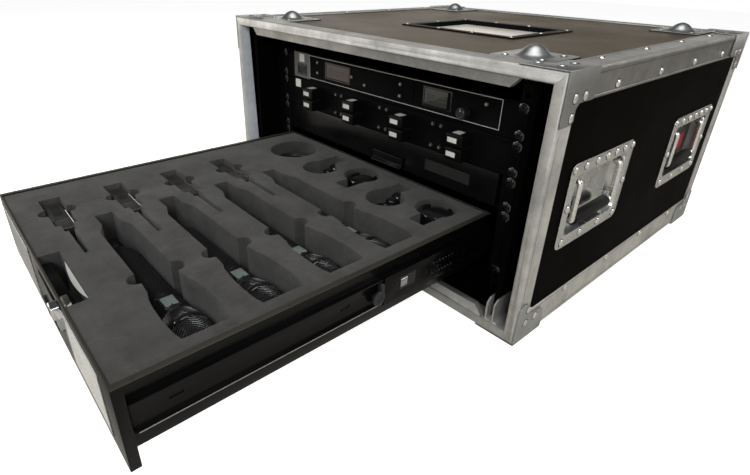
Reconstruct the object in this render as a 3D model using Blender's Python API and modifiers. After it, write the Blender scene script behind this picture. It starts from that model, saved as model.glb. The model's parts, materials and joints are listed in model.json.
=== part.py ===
"""A rack case with one drawer standing open, ready to be opened or run in Blender.

The case is a plywood box with black laminate, held by aluminium edge extrusions.
It carries a receiver, a battery charger, a low drawer and a deep foam-lined drawer.
X runs to the right, Y into the case, and Z up. All sizes are in metres.
"""
import math

import bmesh
import bpy
from mathutils import Matrix, Vector

mm = 0.001

# Rack
rack_unit = 44.45 * mm
rack_units = 5
ear_half_width = 241.3 * mm
bolt_half_spacing = 232.55 * mm
space_over_rack = 48 * mm       # from the case's top to the first unit
space_under_rack = 44.75 * mm   # from the last unit to the case's bottom

# Case, built round the rack
case_depth = 560 * mm
panel_thickness = 9 * mm
fit_gap = 0.3 * mm              # between pieces that touch
ear_room = 18.7 * mm            # from a unit's ear to a divider
divider_thickness = 7 * mm
lid_pocket = 22.1 * mm          # space beside each divider for a slid-away lid

# Aluminium extrusions
sheet = 1.6 * mm                # wall of every extrusion
ridge = 0.6 * mm                # how far ridges and beads stand proud
ring_leg = 27 * mm              # front and rear frames, along the case's sides
ring_inner_leg = 24 * mm
edge_leg_top = 32 * mm          # long edges, along the top and the upper sides
edge_leg_bottom = 38 * mm
tongue_height = 11.5 * mm       # strip that a front lid closes on
tongue_depth = 9 * mm
tongue_short_of_divider = 20 * mm
tongue_set_back = 3 * mm

# Dividers and their shoes
divider_front = 14 * mm
shoe_thickness = 2 * mm
shoe_height = 31 * mm
shoe_inner_length = 32 * mm
shoe_outer_length = 48 * mm

# Corner braces
brace_sheet = 1.2 * mm
brace_long = 61 * mm
brace_short = 53 * mm
brace_width = 32 * mm
brace_leg = 26 * mm
brace_rivet_inset = 20 * mm

# Stacking plates on the top
stack_plate = 58 * mm
stack_sheet = 1.5 * mm
stack_inset_x = 74 * mm         # from the case's side to a plate's middle
stack_inset_y = 65 * mm
cone_base_radius = 20 * mm
cone_top_radius = 8 * mm
cone_height = 12 * mm

# Label dish in the top
label_width = 207 * mm
label_length = 166 * mm
label_middle_x = 28 * mm
label_middle_y = 253 * mm
label_flange = 16 * mm
label_depth = 7 * mm

# Recessed handles
dish_sheet = 1.2 * mm
bail_span = 116 * mm            # between the middles of the two arms
bail_drop = 52 * mm             # from the pivot to the grip
bail_wire = 7 * mm
grip_diameter = 20 * mm
grip_to_arm = 4 * mm            # from a grip's end to the middle of the arm
pivot_below_mouth = 10 * mm
mouth_past_arm = 6 * mm         # from the middle of an arm to the mouth's end
mouth_below_grip = 14 * mm      # from the grip's middle to the mouth's lower edge
dish_end_flange = 14 * mm
dish_side_flange = 15.5 * mm
dish_above_middle = 2 * mm      # a dish's middle above the case's
dish_inset_y = 134 * mm         # from the nearer end of the case to a dish's middle
grip_length = bail_span - 2 * grip_to_arm
mouth_length = bail_span + 2 * mouth_past_arm
mouth_height = pivot_below_mouth + bail_drop + mouth_below_grip
dish_length = mouth_length + 2 * dish_end_flange
dish_height = mouth_height + 2 * dish_side_flange
mouth_radius = 8 * mm
dish_depth = 17 * mm
dish_draft = 3 * mm             # how much the walls lean in

# Rack strips and unit faces
rack_front = 56 * mm            # front of the rack strips
unit_clearance = 0.4 * mm       # above and below each unit's face
face_thickness = 3 * mm
strip_sheet = 1.8 * mm
strip_reach = 15.9 * mm         # from an ear's end to the strips' opening
bolt_from_unit_edge = 6.35 * mm
strip_side_depth = 30 * mm
strip_hole = 7 * mm
strip_end_room = 16 * mm        # from the case's top and bottom to a strip's ends

# Receiver
chassis_short_of_ear = 24.3 * mm
receiver_depth = 300 * mm
receiver_frame_left = -161 * mm
receiver_frame_right = 206 * mm
receiver_frame_low = 3.5 * mm   # above the unit's lower edge
receiver_frame_high = 39.5 * mm
frame_line = 1.6 * mm
frame_proud = 1.2 * mm
window_size = (58 * mm, 24 * mm)
window_left_edges = (-122 * mm, 68 * mm)
window_recess = 0.8 * mm
knob_x = 156 * mm
knob_diameter = 15 * mm
knob_length = 12 * mm
knob_height = 17 * mm           # above the unit's lower edge
rocker_x = -183 * mm
rocker_size = (21 * mm, 13 * mm)
rocker_height = 17 * mm
rocker_proud = 3 * mm
rocker_body_depth = 10 * mm

# Battery charger
charger_depth = 180 * mm
bay_first_x = -143 * mm
bay_pitch = 100.4 * mm
bay_count = 4
pack_width = 25 * mm
pack_height = 16.8 * mm
pack_split = 1.2 * mm           # groove between the two packs of a bay
pack_proud = 20.7 * mm
pack_inside = 45 * mm
bay_gap = 0.5 * mm
button_x_from_bay = (49 * mm, 63 * mm)

# Low drawer and its sleeve
sleeve_sheet = 1.4 * mm
sleeve_short_of_ear = 18.9 * mm
sleeve_depth = 380 * mm
runner_height = 4 * mm
runner_reach = 4.6 * mm
runner_above_floor = 15 * mm
guide_thickness = 1.6 * mm
box_room = 7.6 * mm             # from the sleeve's wall to the drawer's own
box_wall = 1.4 * mm
low_drawer_depth = 350 * mm
low_drawer_travel = 300 * mm
face_short_of_ear = 26.3 * mm

# Deep drawer
drawer_travel = 457.2 * mm
tray_short_of_ear = 31.7 * mm
tray_wall = 1.5 * mm
tray_below_slides = 34 * mm     # the tray's underside below the slides' middle
tray_above_slides = 35.3 * mm
tray_length = 452 * mm
tray_flange = 5.4 * mm
face_sheet = 2 * mm
face_below_slides = 50.5 * mm
face_return = 9 * mm

# Drawer slides
slides_above_unit = 46.25 * mm  # the slides' middle above the last unit's bottom
slide_height = 38 * mm
slide_sheet = 1.5 * mm
slide_thickness = 12.7 * mm
member_reach = 6 * mm           # how far the inner members' flanges stand off the tray
member_set_off = 2.1 * mm       # from the tray to the other members' flanges
slide_outer_length = 450 * mm
slide_mid_length = 420 * mm
slide_mid_set_back = 38 * mm    # from the rack's front to the middle member, closed
slide_behind_face = 1.3 * mm    # from the closed face's folded edge to the outer member
bracket_height = 60 * mm

# Foam insert
foam_drop = 1.5 * mm            # foam's top below the tray's top
foam_split_y = -50 * mm         # where the front block meets the rear one, drawer open
pocket_above_tray = 4 * mm
mic_count = 4
mic_first_y = -319 * mm         # with the drawer open
mic_pitch = 76.7 * mm
notch_radius = 10 * mm
notch_reach = 19 * mm
notch_share = 0.6               # where the notches lie along a microphone
pack_first_y = -359 * mm
pack_pitch = 77 * mm

# Microphones. Their profile is in shares of their length and of the head's radius.
mic_tail_x = -76 * mm
mic_length = 266 * mm
mic_head_diameter = 47.6 * mm
mic_profile = (
    (0.0, 0.29), (0.008, 0.36), (0.105, 0.38), (0.173, 0.65), (0.195, 0.69), (0.564, 0.73), (0.699, 0.756),
    (0.737, 0.84), (0.771, 0.86), (0.778, 0.94), (0.80, 0.94), (0.812, 0.91), (0.895, 1.0), (0.955, 0.95),
    (0.985, 0.757), (1.0, 0.378),
)
mic_pocket_profile = (
    (-0.011, 0.36), (0.09, 0.36), (0.12, 0.47), (0.162, 0.66), (0.647, 0.71), (0.707, 0.76), (0.737, 0.88),
    (0.805, 0.965), (0.887, 1.0), (0.97, 0.96), (1.008, 0.86),
)
mic_pocket_room = 1.4 * mm
mic_sides = 14

# Body packs, standing on edge, each with its flexible aerial
body_pack_size = (83 * mm, 21 * mm, 52 * mm)
body_pack_left = -163 * mm
body_pack_corner = 6 * mm
body_pack_below_foam = 6 * mm   # from the foam's top to a pack's top
body_pack_room = 1.5 * mm       # between a pack and its pocket
body_pack_notch_along = 42 * mm  # from a pack's left end to its finger notches
body_pack_notch_step = 15 * mm   # how far the notches stay above the pocket's floor
socket_length = 20 * mm
socket_width = 10 * mm
socket_below_top = 14 * mm
socket_pocket_depth = 34 * mm
aerial_length = 62 * mm
aerial_width = 3.6 * mm
aerial_pocket_width = 6 * mm
aerial_pocket_depth = 24 * mm

# Coiled cable
coil_middle = (-133 * mm, -3 * mm)
coil_pocket_radius = 39 * mm
coil_pocket_depth = 26 * mm
cable_diameter = 4.4 * mm
coil_turns_per_layer = 3
coil_layers = 2
coil_outer_radius = 35 * mm

# Clip pockets: a round hole and a square stub, turned this way and that
clip_pockets = ((-43 * mm, 1), (20 * mm, -1), (97 * mm, 1), (160 * mm, -1))
clip_middle_y = -4 * mm
clip_radius = 27 * mm
clip_offset = 14 * mm
clip_depth = 34 * mm
clip_stub = (24 * mm, 22 * mm)

# Drawer latches
latch_middle_x = 30 * mm
latch_cup_width = 90 * mm
latch_cup_height = 34 * mm
latch_cup_depth = 13 * mm
latch_cup_sheet = 1.2 * mm
latch_well_left = -18 * mm
latch_well_right = 99 * mm
latch_well_length = 17 * mm
latch_well_depth = 48 * mm
paddle_gap = 3 * mm             # between the paddle and the cup's ends
paddle_sheet = 2 * mm
paddle_pin = 2.6 * mm
paddle_knuckle = 17 * mm        # block at the paddle's right end
latch_block_x = 88 * mm
latch_block_width = 15 * mm
latch_block_thickness = 6 * mm
latch_block_length = 24 * mm
latch_block_rise = 1.5 * mm     # how far it stands above the tray
low_paddle_width = 60 * mm
low_paddle_height = 15 * mm

# Derived places
divider_inner_half = ear_half_width + ear_room
case_width = 2 * (divider_inner_half + divider_thickness + lid_pocket + panel_thickness + sheet + fit_gap)
case_height = space_under_rack + rack_units * rack_unit + space_over_rack
half_width = case_width / 2
rack_top = case_height - space_over_rack
tongue_half = divider_inner_half - tongue_short_of_divider
strip_opening_half = ear_half_width - strip_reach
strip_bottom = strip_end_room
strip_top = case_height - strip_end_room
dish_middle_z = case_height / 2 + dish_above_middle
chassis_half_width = ear_half_width - chassis_short_of_ear
sleeve_half_width = ear_half_width - sleeve_short_of_ear
box_half_width = sleeve_half_width - sleeve_sheet - box_room
face_half_width = ear_half_width - face_short_of_ear
tray_half_width = ear_half_width - tray_short_of_ear
slide_middle_z = rack_top - rack_unit * rack_units + slides_above_unit
tray_floor = slide_middle_z - tray_below_slides
tray_top = slide_middle_z + tray_above_slides
face_bottom = slide_middle_z - face_below_slides
pocket_floor = tray_floor + pocket_above_tray
skin = sheet + fit_gap                       # from the outer face to a panel
panel_outer_x = half_width - skin
panel_inner_x = panel_outer_x - panel_thickness
inner_leg = skin + panel_thickness + fit_gap  # outer side of a frame's inner leg
lip = inner_leg + sheet
unit_bottom = [rack_top - rack_unit * (n + 1) for n in range(rack_units)]
face_y = rack_front - fit_gap - face_thickness     # front of a closed unit
open_y = face_y - drawer_travel                    # front of the open drawer
tray_back = open_y + face_sheet + tray_length
slide_outer_x = tray_half_width + fit_gap + slide_thickness
foam_top = tray_top - foam_drop
latch_proud = 9 * mm
front_most = open_y - latch_proud
origin_y = (front_most + case_depth) / 2           # middle of everything, drawer open
foot_height = fit_gap + brace_sheet                # the case stands on its lower braces
parts_name = "Rack case"
finishes = {}


def clear_scene():
    for old in list(bpy.data.objects):
        bpy.data.objects.remove(old, do_unlink=True)


def new_collection(name):
    group = bpy.data.collections.new(name)
    bpy.context.scene.collection.children.link(group)
    return group


def finish(name, colour, roughness, metallic):
    """A material shared by every piece with this finish."""
    if name not in finishes:
        made = bpy.data.materials.new(name)
        made.use_nodes = True
        shader = made.node_tree.nodes["Principled BSDF"]
        shader.inputs["Base Color"].default_value = (*colour, 1)
        shader.inputs["Roughness"].default_value = roughness
        shader.inputs["Metallic"].default_value = metallic
        finishes[name] = made
    return finishes[name]


def aluminium():
    return finish("worn aluminium", (0.62, 0.62, 0.60), 0.42, 1.0)


def zinc():
    return finish("zinc plate", (0.50, 0.52, 0.54), 0.35, 1.0)


def laminate():
    return finish("black laminate", (0.02, 0.019, 0.018), 0.45, 0.0)


def black_steel():
    return finish("black steel", (0.015, 0.015, 0.016), 0.4, 0.0)


def chrome():
    return finish("chrome", (0.8, 0.8, 0.8), 0.12, 1.0)


def foam_grey():
    return finish("grey foam", (0.09, 0.085, 0.08), 0.95, 0.0)


def black_plastic():
    return finish("black plastic", (0.012, 0.012, 0.013), 0.35, 0.0)


def new_object(name, mesh):
    made = bpy.data.objects.new(name, mesh)
    parts.objects.link(made)
    return made


def hang(piece, holder):
    """Parent a piece and its cutters, keeping them where the case's coordinates put them."""
    piece.parent = holder
    piece.matrix_parent_inverse = Matrix.Translation(-Vector(holder_place(holder)))
    for change in piece.modifiers:
        if change.type == "BOOLEAN":
            hang(change.object, holder)


def dress(piece, material, parent=None):
    """Give a piece its finish and hang it on the case's origin or on a joint's empty."""
    piece.data.materials.clear()
    piece.data.materials.append(material)
    hang(piece, parent or origin)
    return piece


def holder_place(holder):
    return (0, 0, 0) if holder is origin else holder["place"]


def axis_empty(name, place, parent=None):
    """An empty at a joint's axis, in the case's own coordinates."""
    made = bpy.data.objects.new(name, None)
    parts.objects.link(made)
    holder = parent or origin
    made.parent = holder
    made["place"] = place
    made.location = Vector(place) - Vector(holder_place(holder))
    made.empty_display_size = 20 * mm
    return made


def box(name, low, high):
    shape = bmesh.new()
    bmesh.ops.create_cube(shape, size=1)
    size = Vector(high) - Vector(low)
    middle = (Vector(high) + Vector(low)) / 2
    bmesh.ops.scale(shape, vec=size, verts=shape.verts)
    bmesh.ops.translate(shape, vec=middle, verts=shape.verts)
    mesh = bpy.data.meshes.new(name)
    shape.to_mesh(mesh)
    shape.free()
    return new_object(name, mesh)


plate_turns = {
    "x": Matrix(((0, 0, 1), (1, 0, 0), (0, 1, 0))),   # outline in Y and Z
    "y": Matrix(((1, 0, 0), (0, 0, -1), (0, 1, 0))),  # outline in X and Z
    "z": Matrix.Identity(3),                          # outline in X and Y
}


def plate(name, outlines, low, high, across):
    """A flat outline, with any holes, filled from low to high along one axis."""
    curve = bpy.data.curves.new(name, "CURVE")
    curve.dimensions = "2D"
    curve.fill_mode = "BOTH"
    curve.extrude = (high - low) / 2
    for outline in outlines:
        line = curve.splines.new("POLY")
        line.points.add(len(outline) - 1)
        for point, (a, b) in zip(line.points, outline):
            point.co = (a, b, 0, 1)
        line.use_cyclic_u = True
    flat = bpy.data.objects.new(name, curve)
    parts.objects.link(flat)
    bpy.context.view_layer.update()
    mesh = bpy.data.meshes.new_from_object(flat.evaluated_get(bpy.context.evaluated_depsgraph_get()))
    bpy.data.objects.remove(flat, do_unlink=True)
    shape = bmesh.new()
    shape.from_mesh(mesh)
    bmesh.ops.remove_doubles(shape, verts=shape.verts, dist=1e-6)
    middle = (high + low) / 2
    shift = {"x": (middle, 0, 0), "y": (0, middle, 0), "z": (0, 0, middle)}[across]
    shape.transform(Matrix.Translation(shift) @ plate_turns[across].to_4x4())
    bmesh.ops.recalc_face_normals(shape, faces=shape.faces)
    shape.to_mesh(mesh)
    shape.free()
    return new_object(name, mesh)


def corners(low, high):
    (a, b), (c, d) = low, high
    return [(a, b), (c, b), (c, d), (a, d)]


def arc(middle, radius, start, end, steps):
    """Points of an arc, angles in degrees."""
    points = []
    for step in range(steps + 1):
        angle = math.radians(start + (end - start) * step / steps)
        points.append((middle[0] + radius * math.cos(angle), middle[1] + radius * math.sin(angle)))
    return points


def circle(middle, radius, steps):
    return arc(middle, radius, 0, 360 - 360 / steps, steps - 1)


def rounded(low, high, radius, steps=2):
    """A rectangle with round corners."""
    (a, b), (c, d) = low, high
    points = arc((c - radius, d - radius), radius, 0, 90, steps)
    points += arc((a + radius, d - radius), radius, 90, 180, steps)
    points += arc((a + radius, b + radius), radius, 180, 270, steps)
    points += arc((c - radius, b + radius), radius, 270, 360, steps)
    return points


def combine(piece, tool, operation):
    """Cut or join with another solid, which stays behind as a guide."""
    for group in list(tool.users_collection):
        group.objects.unlink(tool)
    cutters.objects.link(tool)
    tool.hide_render = True
    tool.display_type = "WIRE"
    change = piece.modifiers.new(tool.name, "BOOLEAN")
    change.operation = operation
    change.object = tool
    return piece


def cut(piece, *tools):
    for tool in tools:
        combine(piece, tool, "DIFFERENCE")
    return piece


def join(piece, *tools):
    for tool in tools:
        combine(piece, tool, "UNION")
    return piece


def settle(piece):
    """Apply the modifiers, so that the piece can be mirrored or placed again."""
    bpy.context.view_layer.update()
    mesh = bpy.data.meshes.new_from_object(piece.evaluated_get(bpy.context.evaluated_depsgraph_get()))
    tools = [change.object for change in piece.modifiers if change.type == "BOOLEAN"]
    piece.modifiers.clear()
    piece.data = mesh
    for tool in tools:
        bpy.data.objects.remove(tool, do_unlink=True)
    return piece


def moved(name, piece, matrix):
    """A copy of a settled piece, turned or mirrored into another place."""
    shape = bmesh.new()
    shape.from_mesh(piece.data)
    shape.transform(matrix)
    if matrix.determinant() < 0:
        bmesh.ops.reverse_faces(shape, faces=shape.faces)
    mesh = bpy.data.meshes.new(name)
    shape.to_mesh(mesh)
    shape.free()
    return new_object(name, mesh)


def turned(name, profile, sides, place, axis):
    """A solid of revolution from (distance along the axis, radius) pairs."""
    shape = bmesh.new()
    ends = [(profile[0][0], 0.0)] + list(profile) + [(profile[-1][0], 0.0)]
    points = [shape.verts.new((radius, 0, along)) for along, radius in ends]
    for first, second in zip(points, points[1:]):
        shape.edges.new((first, second))
    mesh = bpy.data.meshes.new(name)
    shape.to_mesh(mesh)
    shape.free()
    made = new_object(name, mesh)
    screw = made.modifiers.new("Turn", "SCREW")
    screw.steps = sides
    screw.render_steps = sides
    screw.use_merge_vertices = True
    screw.merge_threshold = 0.00001
    settle(made)
    turn = Vector((0, 0, 1)).rotation_difference(Vector(axis)).to_matrix().to_4x4()
    shape = bmesh.new()
    shape.from_mesh(made.data)
    bmesh.ops.remove_doubles(shape, verts=shape.verts, dist=1e-6)
    bmesh.ops.recalc_face_normals(shape, faces=shape.faces)
    shape.transform(Matrix.Translation(place) @ turn)
    shape.to_mesh(made.data)
    shape.free()
    return made


def bridged(shape, loops):
    """Join equal loops of vertices by strips of faces."""
    for first, second in zip(loops, loops[1:]):
        count = len(first)
        for n in range(count):
            after = (n + 1) % count
            shape.faces.new((first[n], first[after], second[after], second[n]))


def pan(name, rings, thickness):
    """A pressed dish: rings of (outline, depth) bridged, floored and given a thickness."""
    shape = bmesh.new()
    loops = [[shape.verts.new((a, b, depth)) for a, b in outline] for outline, depth in rings]
    bridged(shape, loops)
    shape.faces.new(loops[-1])
    bmesh.ops.recalc_face_normals(shape, faces=shape.faces)
    if sum(face.normal.z * face.calc_area() for face in shape.faces) < 0:
        bmesh.ops.reverse_faces(shape, faces=shape.faces)
    mesh = bpy.data.meshes.new(name)
    shape.to_mesh(mesh)
    shape.free()
    made = new_object(name, mesh)
    wall = made.modifiers.new("Wall", "SOLIDIFY")
    wall.thickness = thickness
    wall.offset = -1
    return settle(made)


def tube(name, points, radii, thickness, resolution=1):
    """A wire along points, whose radius may change from point to point."""
    curve = bpy.data.curves.new(name, "CURVE")
    curve.dimensions = "3D"
    curve.bevel_depth = thickness / 2
    curve.bevel_resolution = resolution
    curve.use_fill_caps = True
    line = curve.splines.new("POLY")
    line.points.add(len(points) - 1)
    for point, place, radius in zip(line.points, points, radii):
        point.co = (*place, 1)
        point.radius = radius
    wire = bpy.data.objects.new(name, curve)
    parts.objects.link(wire)
    bpy.context.view_layer.update()
    mesh = bpy.data.meshes.new_from_object(wire.evaluated_get(bpy.context.evaluated_depsgraph_get()))
    bpy.data.objects.remove(wire, do_unlink=True)
    shape = bmesh.new()
    shape.from_mesh(mesh)
    bmesh.ops.remove_doubles(shape, verts=shape.verts, dist=1e-6)
    bmesh.ops.recalc_face_normals(shape, faces=shape.faces)
    shape.to_mesh(mesh)
    shape.free()
    return new_object(name, mesh)


# Panels

def handle_middles():
    return (dish_inset_y, case_depth - dish_inset_y)


def dish_mouth(middle, clearance):
    """The hole that a handle's dish hangs in, in Y and Z."""
    reach_y = mouth_length / 2 + clearance
    reach_z = mouth_height / 2 + clearance
    low = (middle - reach_y, dish_middle_z - reach_z)
    high = (middle + reach_y, dish_middle_z + reach_z)
    return rounded(low, high, mouth_radius + clearance)


def make_panels():
    low_y = skin
    high_y = case_depth - skin
    side_low = skin + panel_thickness + fit_gap
    side_outline = corners((low_y, side_low), (high_y, case_height - side_low))
    holes = [dish_mouth(middle, dish_sheet + fit_gap) for middle in handle_middles()]
    for name, inner, outer in (("right_panel", panel_inner_x, panel_outer_x),
                               ("left_panel", -panel_outer_x, -panel_inner_x)):
        dress(plate(name, [side_outline] + holes, inner, outer, "x"), laminate())
    flat = corners((-panel_outer_x, low_y), (panel_outer_x, high_y))
    reach = (label_width / 2 - label_flange + dish_sheet + fit_gap,
             label_length / 2 - label_flange + dish_sheet + fit_gap)
    opening = rounded((label_middle_x - reach[0], label_middle_y - reach[1]),
                      (label_middle_x + reach[0], label_middle_y + reach[1]), 6 * mm)
    top_low = case_height - skin - panel_thickness
    dress(plate("top_panel", [flat, opening], top_low, top_low + panel_thickness, "z"), laminate())
    dress(plate("bottom_panel", [flat], skin, skin + panel_thickness, "z"), laminate())
    reach_x = half_width - lip - fit_gap
    back = corners((-reach_x, lip + fit_gap), (reach_x, case_height - lip - fit_gap))
    dress(plate("rear_panel", [back], case_depth - sheet - panel_thickness, case_depth - sheet, "y"),
          laminate())


# Extrusions

def ring_profile():
    """Section of an end frame: distance in from the outer face, and from the end."""
    proud = ridge
    return [
        (sheet, ring_leg), (proud * 0.7, ring_leg), (0, ring_leg - 0.8 * mm), (0, ring_leg - 2.4 * mm),
        (proud, ring_leg - 3.4 * mm), (proud, 7 * mm), (0, 5.4 * mm), (0, 2.6 * mm), (0.8 * mm, 0.8 * mm),
        (2.6 * mm, 0), (lip - 1 * mm, 0), (lip, 1 * mm), (lip, ring_inner_leg),
        (lip - sheet, ring_inner_leg), (lip - sheet, sheet), (sheet, sheet),
    ]


def end_ring(name, end_y, inward):
    """A frame round one end of the case, mitred at its four corners."""
    shape = bmesh.new()
    loops = []
    for side, up in ((1, 1), (-1, 1), (-1, -1), (1, -1)):
        loop = []
        for across, along in ring_profile():
            x = side * (half_width - across)
            z = case_height - across if up > 0 else across
            loop.append(shape.verts.new((x, end_y + inward * along, z)))
        loops.append(loop)
    bridged(shape, loops + loops[:1])
    bmesh.ops.recalc_face_normals(shape, faces=shape.faces)
    mesh = bpy.data.meshes.new(name)
    shape.to_mesh(mesh)
    shape.free()
    return new_object(name, mesh)


def tongue(name, base, tip):
    """A lid tongue with its ends cut at 45 degrees, between two heights."""
    height = abs(tip - base)
    outline = [(-tongue_half, tip), (tongue_half, tip), (tongue_half + height, base),
               (-tongue_half - height, base)]
    return plate(name, [outline], tongue_set_back, tongue_set_back + tongue_depth, "y")


def divider_shoes(side):
    """The two upright flanges that hold a divider's foot, and the base between them."""
    inner = divider_inner_half - fit_gap
    outer = divider_inner_half + divider_thickness + fit_gap
    base = lip + sheet - 0.2 * mm
    made = []
    for name, face, length in (("shoe inner", inner - shoe_thickness, shoe_inner_length),
                               ("shoe outer", outer, shoe_outer_length)):
        near = side * face
        far = side * (face + shoe_thickness)
        outline = [(2 * mm, lip - 0.4 * mm), (length, lip - 0.4 * mm), (length, lip + shoe_height),
                   (8 * mm, lip + shoe_height), (2 * mm, lip + shoe_height - 6 * mm)]
        made.append(plate(name, [outline], min(near, far), max(near, far), "x"))
    ends = sorted((side * (tongue_half + 14 * mm), side * (outer + shoe_thickness + 5 * mm)))
    made.append(box("shoe base", (ends[0], 3 * mm, lip - 0.8 * mm),
                    (ends[1], shoe_inner_length - 2 * mm, base)))
    return made


def long_edge_profile(leg_down, leg_across):
    """Section of a long edge: distance in from the side, and from the top or bottom."""
    proud = ridge
    half = [(sheet, leg_down), (proud * 0.7, leg_down), (0, leg_down - 0.8 * mm),
            (0, leg_down - 2.4 * mm), (proud, leg_down - 3.4 * mm), (proud, 7 * mm), (0, 5.4 * mm),
            (0, 2.6 * mm), (0.8 * mm, 0.8 * mm)]
    other = [(2.6 * mm, 0), (5.4 * mm, 0), (7 * mm, proud), (leg_across - 3.4 * mm, proud),
             (leg_across - 2.4 * mm, 0), (leg_across - 0.8 * mm, 0), (leg_across, proud * 0.7),
             (leg_across, sheet), (sheet, sheet)]
    return half + other


def make_extrusions():
    front = end_ring("front_frame", 0, 1)
    top_base = case_height - lip + 0.4 * mm
    low_base = lip - 0.4 * mm
    join(front, tongue("top tongue", top_base, top_base - tongue_height),
         tongue("bottom tongue", low_base, low_base + tongue_height))
    for side in (1, -1):
        join(front, *divider_shoes(side))
    dress(front, aluminium())
    rear = end_ring("rear_frame", case_depth, -1)
    for side in (1, -1):
        for up in (1, 0):
            join(rear, brace_rivet(side, up), settle(corner_brace("rear brace", side, up, case_depth, -1)))
    dress(rear, aluminium())
    low_y = ring_leg + fit_gap
    high_y = case_depth - ring_leg - fit_gap
    for side, side_name in ((1, "right"), (-1, "left")):
        for up, up_name, leg in ((1, "top", edge_leg_top), (0, "bottom", edge_leg_bottom)):
            outline = []
            for across, along in long_edge_profile(leg, edge_leg_top):
                z = case_height - along if up else along
                outline.append((side * (half_width - across), z))
            name = "edge_" + up_name + "_" + side_name
            dress(plate(name, [outline], low_y, high_y, "y"), aluminium())


# Corner braces

def brace_outline_square():
    """Upper braces: along the case, and in from its edge."""
    start = 0.6 * mm
    cut_off = 4 * mm
    return [(start, -brace_sheet), (brace_long, -brace_sheet), (brace_long, brace_width - cut_off),
            (brace_long - cut_off, brace_width), (brace_leg + 5 * mm, brace_width),
            (brace_leg, brace_width + 5 * mm), (brace_leg, brace_short - cut_off),
            (brace_leg - cut_off, brace_short), (start, brace_short)]


def brace_outline_lobed():
    """Lower braces, with a round lobe on each leg and a notch between them."""
    start = 0.6 * mm
    lobe = brace_leg / 2
    upper = arc((lobe + start, brace_short - lobe), lobe, 0, 150, 5)
    right = arc((brace_long - lobe, brace_width - lobe), lobe, 0, 90, 3)
    notch = [(brace_leg + 9 * mm, brace_width), (brace_leg + 2 * mm, brace_width + 4 * mm)]
    return [(start, -brace_sheet), (brace_long, -brace_sheet)] + right + notch + upper


def brace_rivet(side, up):
    """The rivet that makes a rear brace one piece with its frame."""
    ends = sorted((side * (half_width - sheet), side * (half_width + fit_gap + brace_sheet / 2)))
    along = case_depth - brace_leg / 2
    height = case_height - brace_rivet_inset if up else brace_rivet_inset
    reach = 3 * mm
    return box("brace rivet", (ends[0], along - reach, height - reach),
               (ends[1], along + reach, height + reach))


def corner_brace(name, side, up, end_y, inward):
    """A brace folded over one corner of the case, on its side and on its top or bottom."""
    outline = brace_outline_square() if up else brace_outline_lobed()
    face = half_width + fit_gap
    level = case_height + fit_gap if up else -fit_gap
    rise = -1 if up else 1
    on_side = [(end_y + inward * a, level + rise * b) for a, b in outline]
    piece = plate(name, [on_side], *sorted((side * face, side * (face + brace_sheet))), "x")
    on_flat = [(side * (face - b), end_y + inward * a) for a, b in brace_outline_square()]
    flat = plate(name + " flat", [on_flat], *sorted((level, level - rise * brace_sheet)), "z")
    return join(piece, flat)


def make_braces():
    for side, side_name in ((1, "right"), (-1, "left")):
        for up, up_name in ((1, "top"), (0, "bottom")):
            name = "corner_front_" + up_name + "_" + side_name
            dress(corner_brace(name, side, up, 0, 1), zinc())


# Fittings on the top

def make_stacking_plates():
    level = case_height - skin + fit_gap
    count = 12
    for side, side_name in ((1, "right"), (-1, "left")):
        for middle, end_name in ((stack_inset_y, "front"), (case_depth - stack_inset_y, "rear")):
            reach = stack_plate / 2
            square = rounded((-reach, -reach), (reach, reach), 5 * mm)
            rings = [(square, 0)]
            steps = ((cone_base_radius, 0), (cone_base_radius * 0.86, 0.42), (cone_top_radius * 1.4, 0.9),
                     (cone_top_radius * 0.8, 1.0))
            for radius, share in steps:
                rings.append((arc((0, 0), radius, 15, 345, count - 1), cone_height * share))
            name = "stacking_plate_" + end_name + "_" + side_name
            made = pan(name, rings, stack_sheet)
            place = (side * (half_width - stack_inset_x), middle, level + stack_sheet)
            shape = moved(name + " placed", made, Matrix.Translation(place))
            made.data = shape.data
            bpy.data.objects.remove(shape, do_unlink=True)
            dress(made, zinc())


def make_label_dish():
    half = (label_width / 2, label_length / 2)
    inner = (half[0] - label_flange, half[1] - label_flange)
    floor = (inner[0] - 2 * mm, inner[1] - 2 * mm)
    rings = [
        (rounded((-half[0], -half[1]), half, 5 * mm), 0),
        (rounded((-inner[0], -inner[1]), inner, 4 * mm), 0),
        (rounded((-floor[0], -floor[1]), floor, 3 * mm), -label_depth),
    ]
    made = pan("label_dish", rings, dish_sheet)
    level = case_height - skin + fit_gap + dish_sheet
    made.data.transform(Matrix.Translation((label_middle_x, label_middle_y, level)))
    dress(made, zinc())


# Handles

def make_dish(name, side, middle):
    half = (dish_length / 2, dish_height / 2)
    mouth = (mouth_length / 2, mouth_height / 2)
    floor = (mouth[0] - dish_draft, mouth[1] - dish_draft)
    rings = [
        (rounded((-half[0], -half[1]), half, 9 * mm), 0),
        (rounded((-mouth[0], -mouth[1]), mouth, mouth_radius), 0),
        (rounded((-floor[0], -floor[1]), floor, mouth_radius - 2 * mm), -dish_depth),
    ]
    made = pan(name, rings, dish_sheet)
    face = panel_outer_x + fit_gap + dish_sheet
    stand = Matrix(((0, 0, side, side * face), (side, 0, 0, middle), (0, 1, 0, dish_middle_z),
                    (0, 0, 0, 1)))
    made.data.transform(stand)
    return dress(made, zinc())


def bail_pivot(side, middle):
    face = panel_outer_x + fit_gap + dish_sheet
    out = face - dish_depth + fit_gap + grip_diameter / 2
    height = dish_middle_z + mouth_height / 2 - pivot_below_mouth
    return (side * out, middle, height)


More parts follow.
